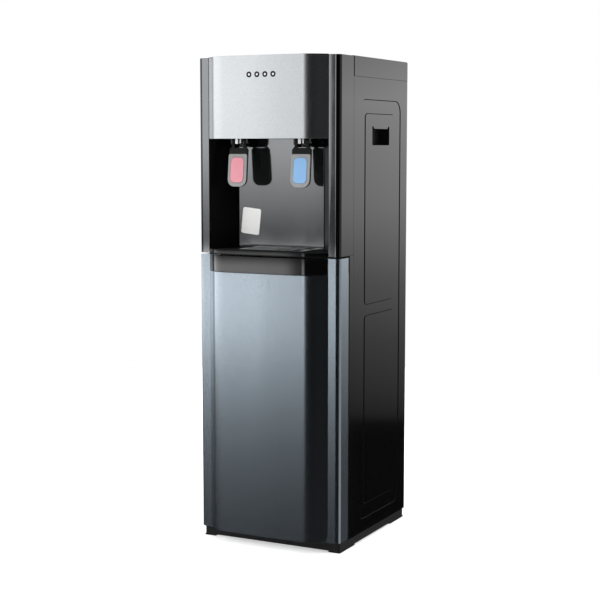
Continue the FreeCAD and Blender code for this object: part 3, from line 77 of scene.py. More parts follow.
def add(tree, kind, values=None, links=None, **settings):
    """Add a node with its settings, its input values and the sockets linked into it."""
    node = tree.nodes.new(kind)
    for key, setting in settings.items():
        setattr(node, key, setting)
    for key, number in (values or {}).items():
        node.inputs[key].default_value = number
    for key, socket in (links or {}).items():
        tree.links.new(socket, node.inputs[key])
    return node


def finish(name, colour, roughness, **sockets):
    """A material with one Principled shader; returns it with its tree and shader."""
    made = bpy.data.materials.new(name)
    made.use_nodes = True
    made.diffuse_color = linear(colour)
    shader = made.node_tree.nodes["Principled BSDF"]
    shader.inputs["Base Color"].default_value = linear(colour)
    shader.inputs["Roughness"].default_value = roughness
    for key, number in sockets.items():
        shader.inputs[key.replace("_", " ")].default_value = number
    return made, made.node_tree, shader


def pattern_space(tree, unit_mm, stretch=(1, 1, 1)):
    """Object coordinates in which one unit is unit_mm, drawn out along an axis by stretch."""
    place = add(tree, "ShaderNodeTexCoord")
    scale = [1 / (unit_mm * MM * s) for s in stretch]
    return add(tree, "ShaderNodeMapping", {"Scale": scale}, {"Vector": place.outputs["Object"]},
               vector_type="POINT").outputs["Vector"]


def noise(tree, unit_mm, detail=2.0, stretch=(1, 1, 1)):
    """Soft blotches about unit_mm across."""
    return add(tree, "ShaderNodeTexNoise", {"Scale": 1.0, "Detail": detail},
               {"Vector": pattern_space(tree, unit_mm, stretch)}).outputs["Fac"]


def cells(tree, unit_mm, output="Distance", feature="F1"):
    """Cells about unit_mm across: the distance from their centres or edges, or their colours."""
    return add(tree, "ShaderNodeTexVoronoi", {"Scale": 1.0}, {"Vector": pattern_space(tree, unit_mm)},
               feature=feature).outputs[output]


def grey_cells(tree, unit_mm):
    """Cells about unit_mm across, each with a grey of its own."""
    return add(tree, "ShaderNodeRGBToBW",
               links={"Color": cells(tree, unit_mm, "Color")}).outputs["Val"]


def spread(tree, socket, low, high, start=0.0, end=1.0):
    """Map a pattern's range to low..high."""
    return add(tree, "ShaderNodeMapRange",
               {"From Min": start, "From Max": end, "To Min": low, "To Max": high},
               {"Value": socket}).outputs["Result"]


def tint(tree, shader, factor, dark, light):
    """Colour the shader between two sRGB colours by a pattern."""
    mix = add(tree, "ShaderNodeMix", {6: linear(dark), 7: linear(light)}, {0: factor}, data_type="RGBA")
    tree.links.new(mix.outputs[2], shader.inputs["Base Color"])


def rough_by(tree, shader, pattern, low, high, start=0.0, end=1.0):
    """Vary the roughness by a pattern, whose range start..end gives low..high."""
    tree.links.new(spread(tree, pattern, low, high, start, end), shader.inputs["Roughness"])


def soften_light(shader, weight, reach_mm):
    """Let light pass reach_mm into the material."""
    shader.inputs["Subsurface Weight"].default_value = weight
    shader.inputs["Subsurface Radius"].default_value = (reach_mm * MM,) * 3


def relief(tree, shader, height, depth_mm, strength=1.0):
    """Raise the surface by a pattern, depth_mm from its low to its high."""
    node = add(tree, "ShaderNodeBump", {"Distance": depth_mm * MM, "Strength": strength},
               {"Height": height})
    tree.links.new(node.outputs["Normal"], shader.inputs["Normal"])


# ---------------------------------------------------------------------- materials

FLAKE_MM = 1.1        # real flake is about 0.05 mm; drawn coarse enough to shimmer in the render
GRAIN_MM = 1.3        # spark-eroded grain is about 0.4 mm; drawn coarse enough to show


def metallic_lacquer(name, dark, light, roughness):
    """Aluminium-flake lacquer sprayed on ABS: a satin metal sheen with a fine shimmer."""
    made, tree, shader = finish(name, light, roughness, Metallic=1.0)
    shader.inputs["Coat Weight"].default_value = 0.35
    shader.inputs["Coat Roughness"].default_value = 0.12
    tint(tree, shader, grey_cells(tree, FLAKE_MM), dark, light)
    return made


def gloss_abs(name, colour, roughness):
    """Black ABS from a polished mould: deep and mirror-like, with a faint moulding ripple."""
    made, tree, shader = finish(name, colour, roughness, IOR=1.54)
    relief(tree, shader, noise(tree, 38, 1.0), 0.012)
    rough_by(tree, shader, noise(tree, 120, 4.0), roughness - 0.02, roughness + 0.04, 0.35, 0.7)
    return made


def mirror_black(name, colour, roughness):
    """Smoked hard coat over black ABS: a dark mirror that shows the levers behind themselves."""
    made, tree, shader = finish(name, colour, roughness, Metallic=0.95)
    rough_by(tree, shader, noise(tree, 90, 3.0), roughness, roughness + 0.05, 0.35, 0.7)
    relief(tree, shader, noise(tree, 45, 1.0), 0.008)
    return made


def grained_moulding(name, dark, light, roughness=0.5, **sockets):
    """ABS or PP from a spark-eroded mould: satin, with an even fine grain."""
    made, tree, shader = finish(name, light, roughness, IOR=1.5, **sockets)
    grain = noise(tree, GRAIN_MM, 2.0)
    tint(tree, shader, spread(tree, grain, 0, 1, 0.3, 0.7), dark, light)
    rough_by(tree, shader, grain, roughness + 0.06, roughness - 0.06, 0.3, 0.7)
    relief(tree, shader, grain, 0.05, 0.5)
    return made


def tinted_insert(name, dark, light):
    """Tinted polypropylene insert: clean, slightly milky colour with a soft gloss."""
    made, tree, shader = finish(name, light, 0.28, IOR=1.49)
    soften_light(shader, 0.15, 2)
    tint(tree, shader, noise(tree, 30, 2.0), dark, light)
    relief(tree, shader, noise(tree, 5, 1.0), 0.01)
    return made


def chrome_plate():
    """Chromium plate on ABS: a hard clean mirror with a trace of water spotting."""
    made, tree, shader = finish("chrome plate on ABS", "#E6E8EA", 0.2, Metallic=1.0)
    rough_by(tree, shader, cells(tree, 6), 0.3, 0.2, 0.0, 0.25)
    return made


def powder_coat():
    """Black polyester powder coat on sheet steel: semi-matt with an orange-peel surface."""
    made, tree, shader = finish("black powder coat on steel", "#1C1D1F", 0.45, IOR=1.5)
    tint(tree, shader, spread(tree, noise(tree, 150, 3.0), 0, 1, 0.3, 0.7), "#17181A", "#222326")
    relief(tree, shader, noise(tree, 2.4, 2.0), 0.05, 0.6)
    return made


def bead_foam():
    """Expanded polystyrene: pale, matt, with each bead's outline sunk and darkened as painted shade."""
    made, tree, shader = finish("expanded polystyrene", "#E4E3DC", 0.85)
    edge = cells(tree, 4.0, feature="DISTANCE_TO_EDGE")
    # painted shade: darker along the bead outlines, in the dips that the relief makes
    tint(tree, shader, spread(tree, edge, 0, 1, 0.0, 0.12), "#C9C8BF", "#EAE9E3")
    relief(tree, shader, spread(tree, edge, 0, 1, 0.0, 0.2), 0.25)
    return made


def brushed_metal(name, dark, light, roughness, stretch):
    """Rolled or drawn metal: fine lines along the direction it was worked in."""
    made, tree, shader = finish(name, light, roughness, Metallic=1.0)
    lines = noise(tree, 0.9, 3.0, stretch)
    tint(tree, shader, spread(tree, lines, 0, 1, 0.3, 0.7), dark, light)
    rough_by(tree, shader, lines, roughness + 0.08, roughness - 0.05, 0.3, 0.7)
    relief(tree, shader, lines, 0.01, 0.4)
    return made


def zinc_plate():
    """Zinc-plated steel: bright grey with a faint crystal mottle."""
    made, tree, shader = finish("zinc plated steel", "#B9BBB7", 0.33, Metallic=1.0)
    mottle = grey_cells(tree, 3.5)
    tint(tree, shader, mottle, "#A3A5A2", "#C8CAC6")
    rough_by(tree, shader, mottle, 0.26, 0.42)
    return made


def silicone():
    """Milky silicone tube: soft, waxy, with light passing into it."""
    made, tree, shader = finish("milky silicone", "#DCDDD6", 0.42, IOR=1.41)
    soften_light(shader, 0.5, 4)
    tint(tree, shader, noise(tree, 20, 2.0), "#CFD0C8", "#E5E6E0")
    return made


def moulded_rubber():
    """Black rubber foot: dead matt, dusty at its high points."""
    made, tree, shader = finish("moulded rubber", "#141414", 0.85)
    tint(tree, shader, spread(tree, noise(tree, 7, 4.0), 0, 1, 0.4, 0.75), "#101010", "#242321")
    relief(tree, shader, noise(tree, 2.0), 0.08, 0.5)
    return made


def solder_mask():
    """Green solder mask over copper tracks: glossy, with the tracks a shade lighter."""
    made, tree, shader = finish("solder mask on glass fibre", "#0E3B22", 0.3, IOR=1.5)
    tracks = add(tree, "ShaderNodeTexBrick", {"Scale": 1.0, "Mortar Size": 0.03, "Brick Width": 0.9,
                                              "Row Height": 0.35, "Color1": linear("#0E3B22"),
                                              "Color2": linear("#11452A"), "Mortar": linear("#2C7A4A")},
                 {"Vector": pattern_space(tree, 6.0)})
    tree.links.new(tracks.outputs["Color"], shader.inputs["Base Color"])
    return made


def sintered(name, dark, light, roughness):
    """Pressed and fired ceramic or ferrite: matt and slightly speckled."""
    made, tree, shader = finish(name, light, roughness)
    tint(tree, shader, spread(tree, noise(tree, 1.6, 3.0), 0, 1, 0.35, 0.7), dark, light)
    return made


def diffuser():
    """Opal acrylic light pipe: white, glossy, light spread inside it."""
    made, tree, shader = finish("opal acrylic", "#E9ECEF", 0.2, IOR=1.49)
    soften_light(shader, 0.3, 2)
    tint(tree, shader, noise(tree, 3, 1.0), "#DDE2E6", "#F2F4F5")
    return made


def coated_paper():
    """Gloss-laminated paper sticker: white, flat, barely textured."""
    made, tree, shader = finish("laminated paper", "#FAFAF7", 0.35)
    shader.inputs["Coat Weight"].default_value = 0.4
    tint(tree, shader, noise(tree, 12, 2.0), "#F4F4F1", "#FCFCFA")
    relief(tree, shader, noise(tree, 1.5, 2.0), 0.01)
    return made


# painted shade: a dull, barely reflecting copy of the niche's gloss black, laid on its side walls so
# that they read dark
painted_niche_shade = grained_moulding("satin black ABS as painted niche shade", "#040404", "#070707", 0.35, Specular_IOR_Level=0.2)
# painted shade: a near-black matt coat for the side panels' outline steps, the top cover's seam, the
# fascia's top edge and the niche floor
painted_shade_black = grained_moulding("painted shade black ABS", "#030303", "#050505", 0.9)
silver = metallic_lacquer("silver lacquer on ABS", "#D6DBDF", "#EAEEF0", 0.3)
graphite = metallic_lacquer("blue grey lacquer on ABS", "#96A2AC", "#B0BCC6", 0.27)
smoked = mirror_black("smoked mirror hard coat", "#8A8C8E", 0.05)
pillar_coat = mirror_black("smoked satin hard coat", "#8E9092", 0.06)
piano = gloss_abs("gloss black ABS", "#060607", 0.07)
grained = grained_moulding("black grained ABS", "#0E0E0F", "#19191A")
grey_plastic = grained_moulding("grey satin ABS", "#8B8C8C", "#9C9D9C", 0.38)
matt_black = grained_moulding("matt black POM", "#070707", "#0D0D0D", 0.6)
pale_plastic = grained_moulding("pale grey PP", "#B9BBBA", "#CACCCB", 0.45)
rose = tinted_insert("rose tinted PP", "#E092A0", "#E69CA9")
sky = tinted_insert("sky blue tinted PP", "#84B2E0", "#90BCE6")
chrome = chrome_plate()
coated_steel = powder_coat()
foam = bead_foam()
stainless = brushed_metal("drawn stainless steel", "#A8A8A6", "#C6C6C4", 0.24, (1, 1, 40))
aluminium = brushed_metal("extruded aluminium", "#BDBEC0", "#D5D6D8", 0.3, (1, 1, 40))
zinc = zinc_plate()
tubing = silicone()
rubber = moulded_rubber()
board = solder_mask()
ceramic = sintered("alumina ceramic", "#DCDCD8", "#ECECE9", 0.55)
ferrite = sintered("sintered ferrite", "#202123", "#303134", 0.6)
opal = diffuser()
red_rocker = tinted_insert("signal red PA", "#8E1B1F", "#A92529")
paper = coated_paper()

MATERIAL_OF = {
    silver: ["fascia_panel"],
    graphite: ["door_panel", "door_shell"],
    piano: ["niche_liner", "upper_front_frame", "left_side_panel", "right_side_panel", "top_cover",
            "door_band", "lower_front_frame", "drip_grille"],
    matt_black: ["hot_lever", "cold_lever", "indicator_bezels"],
    grained: ["base_plinth", "handle_cups", "rear_upper_cover", "tap_bodies", "drip_tray", "door_liner",
              "bottle_tray", "probe_clip", "fan_frame", "fan_rotor", "water_pump", "drain_outlet",
              "cable_gland", "switch_frames", "cooling_switch"],
    grey_plastic: ["hot_lever_pad", "cold_lever_pad", "drain_cap"],
    pale_plastic: ["probe_cap"],
    rose: ["hot_lever_insert"],
    sky: ["cold_lever_insert"],
    chrome: ["tap_spouts"],
    coated_steel: ["rear_lower_panel", "mid_deck"],
    foam: ["hot_tank_jacket", "cold_tank_insulation"],
    stainless: ["hot_tank", "cold_tank", "probe_tube"],
    aluminium: ["heat_sink"],
    zinc: ["lever_pins", "strike_plates", "hinge_pins", "power_supply", "rear_screws"],
    tubing: ["probe_hose", "hot_outlet_tube", "cold_outlet_tube", "hot_feed_tube", "cold_feed_tube"],
    rubber: ["base_feet"],
    board: ["control_board"],
    ceramic: ["thermoelectric_module"],
    ferrite: ["door_magnets"],
    opal: ["indicator_lenses"],
    red_rocker: ["heating_switch"],
}


def dress(thing, finish_material):
    """Give an object one material."""
    thing.data.materials.clear()
    thing.data.materials.append(finish_material)


for coat, node_names in MATERIAL_OF.items():
    for node_name in node_names:
        dress(frame["nodes"][node_name], coat)
coat_of = {name: coat for coat, names in MATERIAL_OF.items() for name in names}
bodies = frame["record"]["behaviour"]["bodies"]
body_of = {name: body for body, names in bodies.items() for name in names}


# ------------------------------------------------------------------ mesh helpers

def link(name, mesh):
    """A new object for a mesh, in the scene."""
    thing = bpy.data.objects.new(name, mesh)
    bpy.context.scene.collection.objects.link(thing)
    return thing


def settle(thing):
    """Turn an object's modifiers into its mesh, and take the modifiers off."""
    graph = bpy.context.evaluated_depsgraph_get()
    mesh = bpy.data.meshes.new_from_object(thing.evaluated_get(graph))
    thing.modifiers.clear()
    thing.data = mesh
    return thing


SHARP_ANGLE = math.radians(30)      # edges above it stay sharp on pieces without rounding
BEVEL_ANGLE = math.radians(24)      # edges above it are rounded
FLAT_ANGLE = math.radians(0.5)      # faces that meet below it become one
WELD = 0.005 * MM
FLAT_WEIGHT = 90                    # how far a large face keeps its own normal


def smooth_sides(mesh):
    """Smooth shading with the sharp edges kept."""
    mesh.shade_smooth()
    mesh.set_sharp_from_angle(angle=SHARP_ANGLE)


def even_shading(piece, keep_sharp=False):
    """Shade rounded edges so that the large faces beside them stay flat."""
    weighted = piece.modifiers.new("even_shading", "WEIGHTED_NORMAL")
    weighted.keep_sharp = keep_sharp
    weighted.weight = FLAT_WEIGHT


def softened(node_name, width_mm):
    """A copy of a CAD node with its edges rounded, which then stands for the node."""
    mesh = frame["nodes"][node_name].data.copy()
    form = bmesh.new()
    form.from_mesh(mesh)
    bmesh.ops.remove_doubles(form, verts=form.verts, dist=WELD)
    bmesh.ops.dissolve_limit(form, angle_limit=FLAT_ANGLE, verts=form.verts, edges=form.edges)
    form.to_mesh(mesh)
    form.free()
    mesh.shade_smooth()
    piece = link(node_name + "_soft", mesh)
    bevel = piece.modifiers.new("round_edges", "BEVEL")
    bevel.width = width_mm * MM
    bevel.segments = 2
    bevel.limit_method = "ANGLE"
    bevel.angle_limit = BEVEL_ANGLE
    bevel.miter_outer = "MITER_ARC"
    even_shading(piece, keep_sharp=True)
    settle(piece)
    dress(piece, coat_of[node_name])
    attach(piece, body_of[node_name])
    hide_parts(node_name)
    return piece


# ------------------------------------------------------------- pieces with soft edges

EDGE_MM = {
    "fascia_panel": 1.2, "door_panel": 1.2, "door_band": 0.8, "door_shell": 0.8, "top_cover": 0.8,
    "upper_front_frame": 0.7, "left_side_panel": 0.5, "right_side_panel": 0.5, "niche_liner": 0.6,
    "base_plinth": 0.8, "base_feet": 0.8, "hot_lever": 0.7, "cold_lever": 0.7, "hot_lever_pad": 0.6,
    "cold_lever_pad": 0.6, "hot_lever_insert": 0.6, "cold_lever_insert": 0.6, "tap_spouts": 0.6,
    "indicator_bezels": 0.4, "indicator_lenses": 0.8, "drip_tray": 0.3, "drip_grille": 0.4,
    "handle_cups": 0.5, "rear_lower_panel": 0.4, "lower_front_frame": 0.8,
    "door_liner": 0.5, "bottle_tray": 0.8, "probe_cap": 1.5, "heating_switch": 0.4,
    "cooling_switch": 0.4, "switch_frames": 0.3, "cable_gland": 0.5, "power_supply": 0.5,
    "water_pump": 0.8, "fan_frame": 0.5, "cold_tank_insulation": 1.5, "door_magnets": 0.4,
}
soft = {node_name: softened(node_name, edge) for node_name, edge in EDGE_MM.items()}
for node_name in frame["nodes"]:
    if node_name not in EDGE_MM:
        smooth_sides(frame["nodes"][node_name].data)


# ------------------------------------------------------------------- second coats, mostly painted shade

# how much of a face's normal lies along an axis, from which the face
FLAT = 0.98            # looks straight along it
LEVEL = 0.9            # looks along it but for its rounded edges
STEEP = 0.5            # looks more that way than another
RISING = 0.2           # looks that way at all
PLANE_GAP = 0.5 * MM   # a face belongs to a plane that is nearer than this


def recoat(piece, coat, test):
    """Give the faces that the test picks, by centre and normal, a coat of their own."""
    piece.data.materials.append(coat)
    for face in piece.data.polygons:
        if test(face.center, face.normal):
            face.material_index = len(piece.data.materials) - 1


def front_film(piece, coat, plane):
    """Lay a film on the faces that look to the front and lie at y = plane."""
    recoat(piece, coat,
           lambda centre, normal: normal.y < -FLAT and abs(centre.y - plane) < PLANE_GAP)


def paint_step_shade(piece, floor_x, width):
    """Paint shade on the steps that frame a sunk face, and on a strip of that face at their foot.

    Steps that look to the rear stay as they are, since they never shade the face.
    """
    piece.data.materials.append(painted_shade_black)
    form = bmesh.new()
    form.from_mesh(piece.data)
    sunk = [face for face in form.faces if abs(face.normal.x) > FLAT
            and abs(abs(face.calc_center_median().x) - floor_x) < PLANE_GAP / 10]
    strip = set(bmesh.ops.inset_region(form, faces=sunk, thickness=width, use_even_offset=True)["faces"])
    for face in strip:
        for edge in face.edges:
            for step in set(edge.link_faces) - strip:
                across = step.normal
                if abs(across.x) < STEP_SLANT and across.y < STEEP * across.yz.length:
                    # painted shade on the step and on the strip at its foot
                    face.material_index = step.material_index = 1
    form.to_mesh(piece.data)
    form.free()
    even_shading(piece)
    settle(piece)


FRONT_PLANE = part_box("door_shell")[0].y
NICHE_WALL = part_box("drip_tray")[1].y + 4 * MM          # its rear wall is that far behind the tray
TRAY_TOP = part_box("drip_tray")[1].z
FASCIA_LOW, FASCIA_TOP = (corner.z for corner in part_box("fascia_panel"))
SIDE_PLANE, SIDE_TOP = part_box("right_side_panel")[1].xz
STEP_DEPTH = 1.2 * MM                                   # of the side panels' outlines
SHADE_WIDTH = 1.4 * MM                                  # width of the painted shade strip, about a pixel in the photo
STEP_SLANT = 0.95                                       # a face that looks out more is no step
FASCIA_LIP = 1.3 * MM                                   # its rounded top edge, painted as a dark line
COVER_SEAM = 0.9 * MM                                   # the top cover's rounded lower edge, where a painted shade line runs along the seam
FLOOR_STEP = 5 * MM                                     # most from the niche's floor to the tray's top; the up-facing floor within it gets painted shade


def looks_inward(centre, normal):
    """Whether a face of the niche belongs to one of its side walls."""
    return abs(normal.x) > STEEP and normal.x * centre.x < 0 and centre.z < FASCIA_LOW


front_film(soft["upper_front_frame"], pillar_coat, FRONT_PLANE)
front_film(soft["niche_liner"], smoked, NICHE_WALL)
# painted shade lines along the steps of the side panels' outlines
for node_name in ("left_side_panel", "right_side_panel"):
    paint_step_shade(soft[node_name], SIDE_PLANE - STEP_DEPTH, SHADE_WIDTH)
# painted shade along the seam between the top cover and the side panels
recoat(soft["top_cover"], painted_shade_black, lambda centre, normal: centre.z < SIDE_TOP + COVER_SEAM)
# painted shade: a dark line along the fascia's rounded top edge
recoat(soft["fascia_panel"], painted_shade_black,
       lambda centre, normal: normal.z > RISING and centre.z > FASCIA_TOP - FASCIA_LIP)
# painted shade on the niche's side walls
recoat(soft["niche_liner"], painted_niche_shade, looks_inward)
# painted shade on the niche floor round the drip tray
recoat(soft["niche_liner"], painted_shade_black,
       lambda centre, normal: normal.z > LEVEL and abs(centre.z - TRAY_TOP) < FLOOR_STEP)


# ----------------------------------------------------------------- geometry nodes

def new_tree(name, inputs):
    """A geometry node group with named inputs: (name, socket type, default)."""
    tree = bpy.data.node_groups.new(name, "GeometryNodeTree")
    tree.interface.new_socket("Geometry", in_out="INPUT", socket_type="NodeSocketGeometry")
    for label, kind, default in inputs:
        socket = tree.interface.new_socket(label, in_out="INPUT", socket_type="NodeSocket" + kind)
        if default is not None:
            socket.default_value = default
    tree.interface.new_socket("Geometry", in_out="OUTPUT", socket_type="NodeSocketGeometry")
    return tree, tree.nodes.new("NodeGroupInput"), tree.nodes.new("NodeGroupOutput")


def close_tree(tree, entry, exit_node, instances):
    """End a tree: real geometry, shaded flat or smooth as it comes, in one material."""
    real = add(tree, "GeometryNodeRealizeInstances", links={"Geometry": instances})
    coated = add(tree, "GeometryNodeSetMaterial",
                 links={"Geometry": real.outputs["Geometry"], "Material": entry.outputs["Material"]})
    tree.links.new(coated.outputs["Geometry"], exit_node.inputs["Geometry"])


def grow(name, tree, body, coat, points=(), **sizes):
    """Run a tree on a mesh of points, keep its result as a plain mesh and let it ride."""
    mesh = bpy.data.meshes.new(name)
    mesh.from_pydata([tuple(point) for point in points], [], [])
    piece = link(name, mesh)
    modifier = piece.modifiers.new("build", "NODES")
    modifier.node_group = tree
    sizes["Material"] = coat
    for item in tree.interface.items_tree:
        label = item.name.replace(" ", "_")
        if item.in_out == "INPUT" and label in sizes:
            modifier[item.identifier] = sizes[label]
    settle(piece)
    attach(piece, body)
    return piece


def vector_of(tree, x=None, y=None, z=None):
    """A vector whose given parts are sockets and whose others are zero."""
    links = {key: socket for key, socket in (("X", x), ("Y", y), ("Z", z)) if socket is not None}
    return add(tree, "ShaderNodeCombineXYZ", links=links).outputs["Vector"]


def screw_tree():
    """Pan-head screws with a cross recess on the incoming points, heads towards +Y."""
    tree, entry, exit_node = new_tree("cross_recess_screws", [
        ("Head Diameter", "Float", 7 * MM), ("Head Height", "Float", 2 * MM),
        ("Recess Width", "Float", 1 * MM), ("Recess Length", "Float", 4 * MM),
        ("Recess Depth", "Float", 1.1 * MM), ("Material", "Material", None)])
    size = entry.outputs
    radius = math_node(tree, "MULTIPLY", size["Head Diameter"], 0.5)
    crown = math_node(tree, "MULTIPLY", size["Head Diameter"], 0.36)
    head = add(tree, "GeometryNodeMeshCone", {"Vertices": 20, "Side Segments": 1},
               {"Radius Bottom": radius, "Radius Top": crown, "Depth": size["Head Height"]})
    floor = math_node(tree, "SUBTRACT", size["Head Height"], size["Recess Depth"])
    tools = add(tree, "GeometryNodeJoinGeometry")
    for across, along in (("Recess Length", "Recess Width"), ("Recess Width", "Recess Length")):
        bar = add(tree, "GeometryNodeMeshCube",
                  links={"Size": vector_of(tree, size[across], size[along], size["Head Height"])})
        half = math_node(tree, "MULTIPLY", size["Head Height"], 0.5)
        raised = add(tree, "GeometryNodeTransform",
                     links={"Geometry": bar.outputs["Mesh"],
                            "Translation": vector_of(tree, z=math_node(tree, "ADD", floor, half))})
        tree.links.new(raised.outputs["Geometry"], tools.inputs["Geometry"])
    carved = add(tree, "GeometryNodeMeshBoolean", operation="DIFFERENCE", solver="EXACT",
                 links={"Mesh 1": head.outputs["Mesh"], "Mesh 2": tools.outputs["Geometry"]})
    carved.inputs["Self Intersection"].default_value = True
    turned = add(tree, "GeometryNodeTransform", {"Rotation": (math.radians(-90), 0, 0)},
                 {"Geometry": carved.outputs["Mesh"]})
    placed = add(tree, "GeometryNodeInstanceOnPoints",
                 links={"Points": entry.outputs["Geometry"], "Instance": turned.outputs["Geometry"]})
    close_tree(tree, entry, exit_node, placed.outputs["Instances"])
    return tree


def slat_tree():
    """A column of sloping slats, one behind each vent slot, from the incoming point upwards."""
    tree, entry, exit_node = new_tree("sloping_slats", [
        ("Count", "Int", 9), ("Pitch", "Float", 13 * MM), ("Length", "Float", 100 * MM),
        ("Depth", "Float", 8 * MM), ("Thickness", "Float", 1.2 * MM), ("Slope", "Float", 0.7),
        ("Material", "Material", None)])
    size = entry.outputs
    column = add(tree, "GeometryNodeMeshLine", links={
        "Count": size["Count"], "Offset": vector_of(tree, z=size["Pitch"])})
    slat = add(tree, "GeometryNodeMeshCube",
               links={"Size": vector_of(tree, size["Length"], size["Depth"], size["Thickness"])})
    tipped = add(tree, "GeometryNodeTransform", links={
        "Geometry": slat.outputs["Mesh"], "Rotation": vector_of(tree, x=size["Slope"])})
    rows = add(tree, "GeometryNodeInstanceOnPoints",
               links={"Points": column.outputs["Mesh"], "Instance": tipped.outputs["Geometry"]})
    columns = add(tree, "GeometryNodeInstanceOnPoints",
                  links={"Points": entry.outputs["Geometry"], "Instance": rows.outputs["Instances"]})
    close_tree(tree, entry, exit_node, columns.outputs["Instances"])
    return tree


def rib_tree():
    """Grip ribs round a cap whose axis runs along Y through the incoming point."""
    tree, entry, exit_node = new_tree("grip_ribs", [
        ("Count", "Int", 24), ("Radius", "Float", 9 * MM), ("Length", "Float", 9 * MM),
        ("Rib", "Float", 1.1 * MM), ("Material", "Material", None)])
    size = entry.outputs
    ring = add(tree, "GeometryNodeMeshCircle",
               links={"Vertices": size["Count"], "Radius": size["Radius"]})
    rib = add(tree, "GeometryNodeMeshCylinder", {"Vertices": 8, "Side Segments": 1},
              {"Radius": math_node(tree, "MULTIPLY", size["Rib"], 0.5), "Depth": size["Length"]})
    ribs = add(tree, "GeometryNodeInstanceOnPoints",
               links={"Points": ring.outputs["Mesh"], "Instance": rib.outputs["Mesh"]})
    turned = add(tree, "GeometryNodeTransform", {"Rotation": (math.radians(-90), 0, 0)},
                 {"Geometry": ribs.outputs["Instances"]})
    placed = add(tree, "GeometryNodeInstanceOnPoints",
                 links={"Points": entry.outputs["Geometry"], "Instance": turned.outputs["Geometry"]})
    close_tree(tree, entry, exit_node, placed.outputs["Instances"])
    return tree


def rear_screws():
    """Cross-recess screws down both edges of the two rear panels."""
    low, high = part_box("rear_screws")
    head = 7 * MM
    edge = 12 * MM       # from each screw to the end of its panel
    levels = []
    for panel in ("rear_lower_panel", "rear_upper_cover"):
        bottom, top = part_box(panel)
        levels += [bottom.z + edge, top.z - edge]
    side = high.x - head / 2
    points = [(x, low.y, z) for x in (-side, side) for z in levels]
    piece = grow("cross_recess_screws", screw_tree(), CABINET, zinc, points,
                 Head_Diameter=head, Head_Height=high.y - low.y)
    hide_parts("rear_screws")


def vent_slats():
    """Sloping slats that close the view through the vent slots."""
    first, slot_height, wall = 700 * MM, 4.5 * MM, 2.5 * MM
    behind = 3.6 * MM    # from the wall's inner face to the slats' middle
    low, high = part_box("fan_rotor")
    start = (-(low.x + high.x) / 2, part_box("rear_upper_cover")[1].y - wall - behind,
             first + slot_height / 2)
    piece = grow("vent_slats", slat_tree(), CABINET, grained, [start],
                 Count=9, Pitch=13 * MM, Length=106 * MM, Depth=9 * MM, Slope=math.radians(35))


def cap_ribs():
    """Grip ribs along the drain cap."""
    low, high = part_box("drain_cap")
    piece = grow("drain_cap_ribs", rib_tree(), body_of["drain_cap"], grey_plastic, [(low + high) / 2],
                 Radius=(high.x - low.x) / 2, Length=(high.y - low.y) * 0.8, Rib=1.2 * MM)


rear_screws()
vent_slats()
cap_ribs()


# ---------------------------------------------------------------- pieces given one by one

def prism(name, outline, low, high, body, coat):
    """A flat outline (x, z) given thickness from y = low to y = high."""
    form = bmesh.new()
    front = [form.verts.new((x, low, z)) for x, z in outline]
    face = form.faces.new(front)
    grown = bmesh.ops.extrude_face_region(form, geom=[face])
    moved = [item for item in grown["geom"] if isinstance(item, bmesh.types.BMVert)]
    bmesh.ops.translate(form, vec=(0, high - low, 0), verts=moved)
    bmesh.ops.recalc_face_normals(form, faces=form.faces)
    mesh = bpy.data.meshes.new(name)
    form.to_mesh(mesh)
    form.free()
    smooth_sides(mesh)
    piece = link(name, mesh)
    dress(piece, coat)
    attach(piece, body)
    return piece


def rounded_outline(centre, width, height, radius, tilt, steps=6):
    """Corners of a rounded rectangle, tilted about its centre, anticlockwise."""
    points = []
    for quarter, (across, up) in enumerate(((1, 1), (-1, 1), (-1, -1), (1, -1))):
        for step in range(steps + 1):
            angle = math.radians(90 * (quarter + step / steps))
            x = across * (width / 2 - radius) + radius * math.cos(angle)
            z = up * (height / 2 - radius) + radius * math.sin(angle)
            points.append((centre[0] + x * math.cos(tilt) - z * math.sin(tilt),
                           centre[1] + x * math.sin(tilt) + z * math.cos(tilt)))
    return points


def niche_sticker():
    """Plain white sticker, set a little askew on the rear wall of the niche."""
    centre, width, height = (-68.6 * MM, 653 * MM), 41.5 * MM, 53 * MM
    radius, thickness, tilt = 4 * MM, 0.2 * MM, math.radians(-6)
    prism("niche_sticker", rounded_outline(centre, width, height, radius, tilt),
          NICHE_WALL - thickness, NICHE_WALL, CABINET, paper)


niche_sticker()


# ------------------------------------------------------------------------- studio

def ray_switch(tree, kinds):
    """1 for a ray of any of these kinds, else 0."""
    path = add(tree, "ShaderNodeLightPath")
    total = path.outputs[kinds[0]]
    for kind in kinds[1:]:
        total = math_node(tree, "MAXIMUM", total, path.outputs[kind])
    return total


BACKGROUND_RAYS = ("Is Camera Ray", "Is Glossy Ray", "Is Transmission Ray")
AMBIENT = 0.58         # world level that lights the object
FLOOR_GLOW = 0.5       # what makes the pale floor read as white
FLOOR_RADIUS = 2.2
WHITE = linear("#FFFFFF")


def studio_world():
    """White behind everything, and a plainer level of light on the object.

    The world is not sampled as a light, so it never shows in the glossy pieces.
    """
    world = bpy.data.worlds.new("white studio")
    bpy.context.scene.world = world
    world.cycles.sampling_method = "NONE"
    world.use_nodes = True
    tree = world.node_tree
    shade = tree.nodes["Background"]
    shade.inputs["Color"].default_value = WHITE
    strength = add(tree, "ShaderNodeMapRange", {"To Min": AMBIENT, "To Max": 1.0},
                   {"Value": ray_switch(tree, BACKGROUND_RAYS)})
    tree.links.new(strength.outputs["Result"], shade.inputs["Strength"])


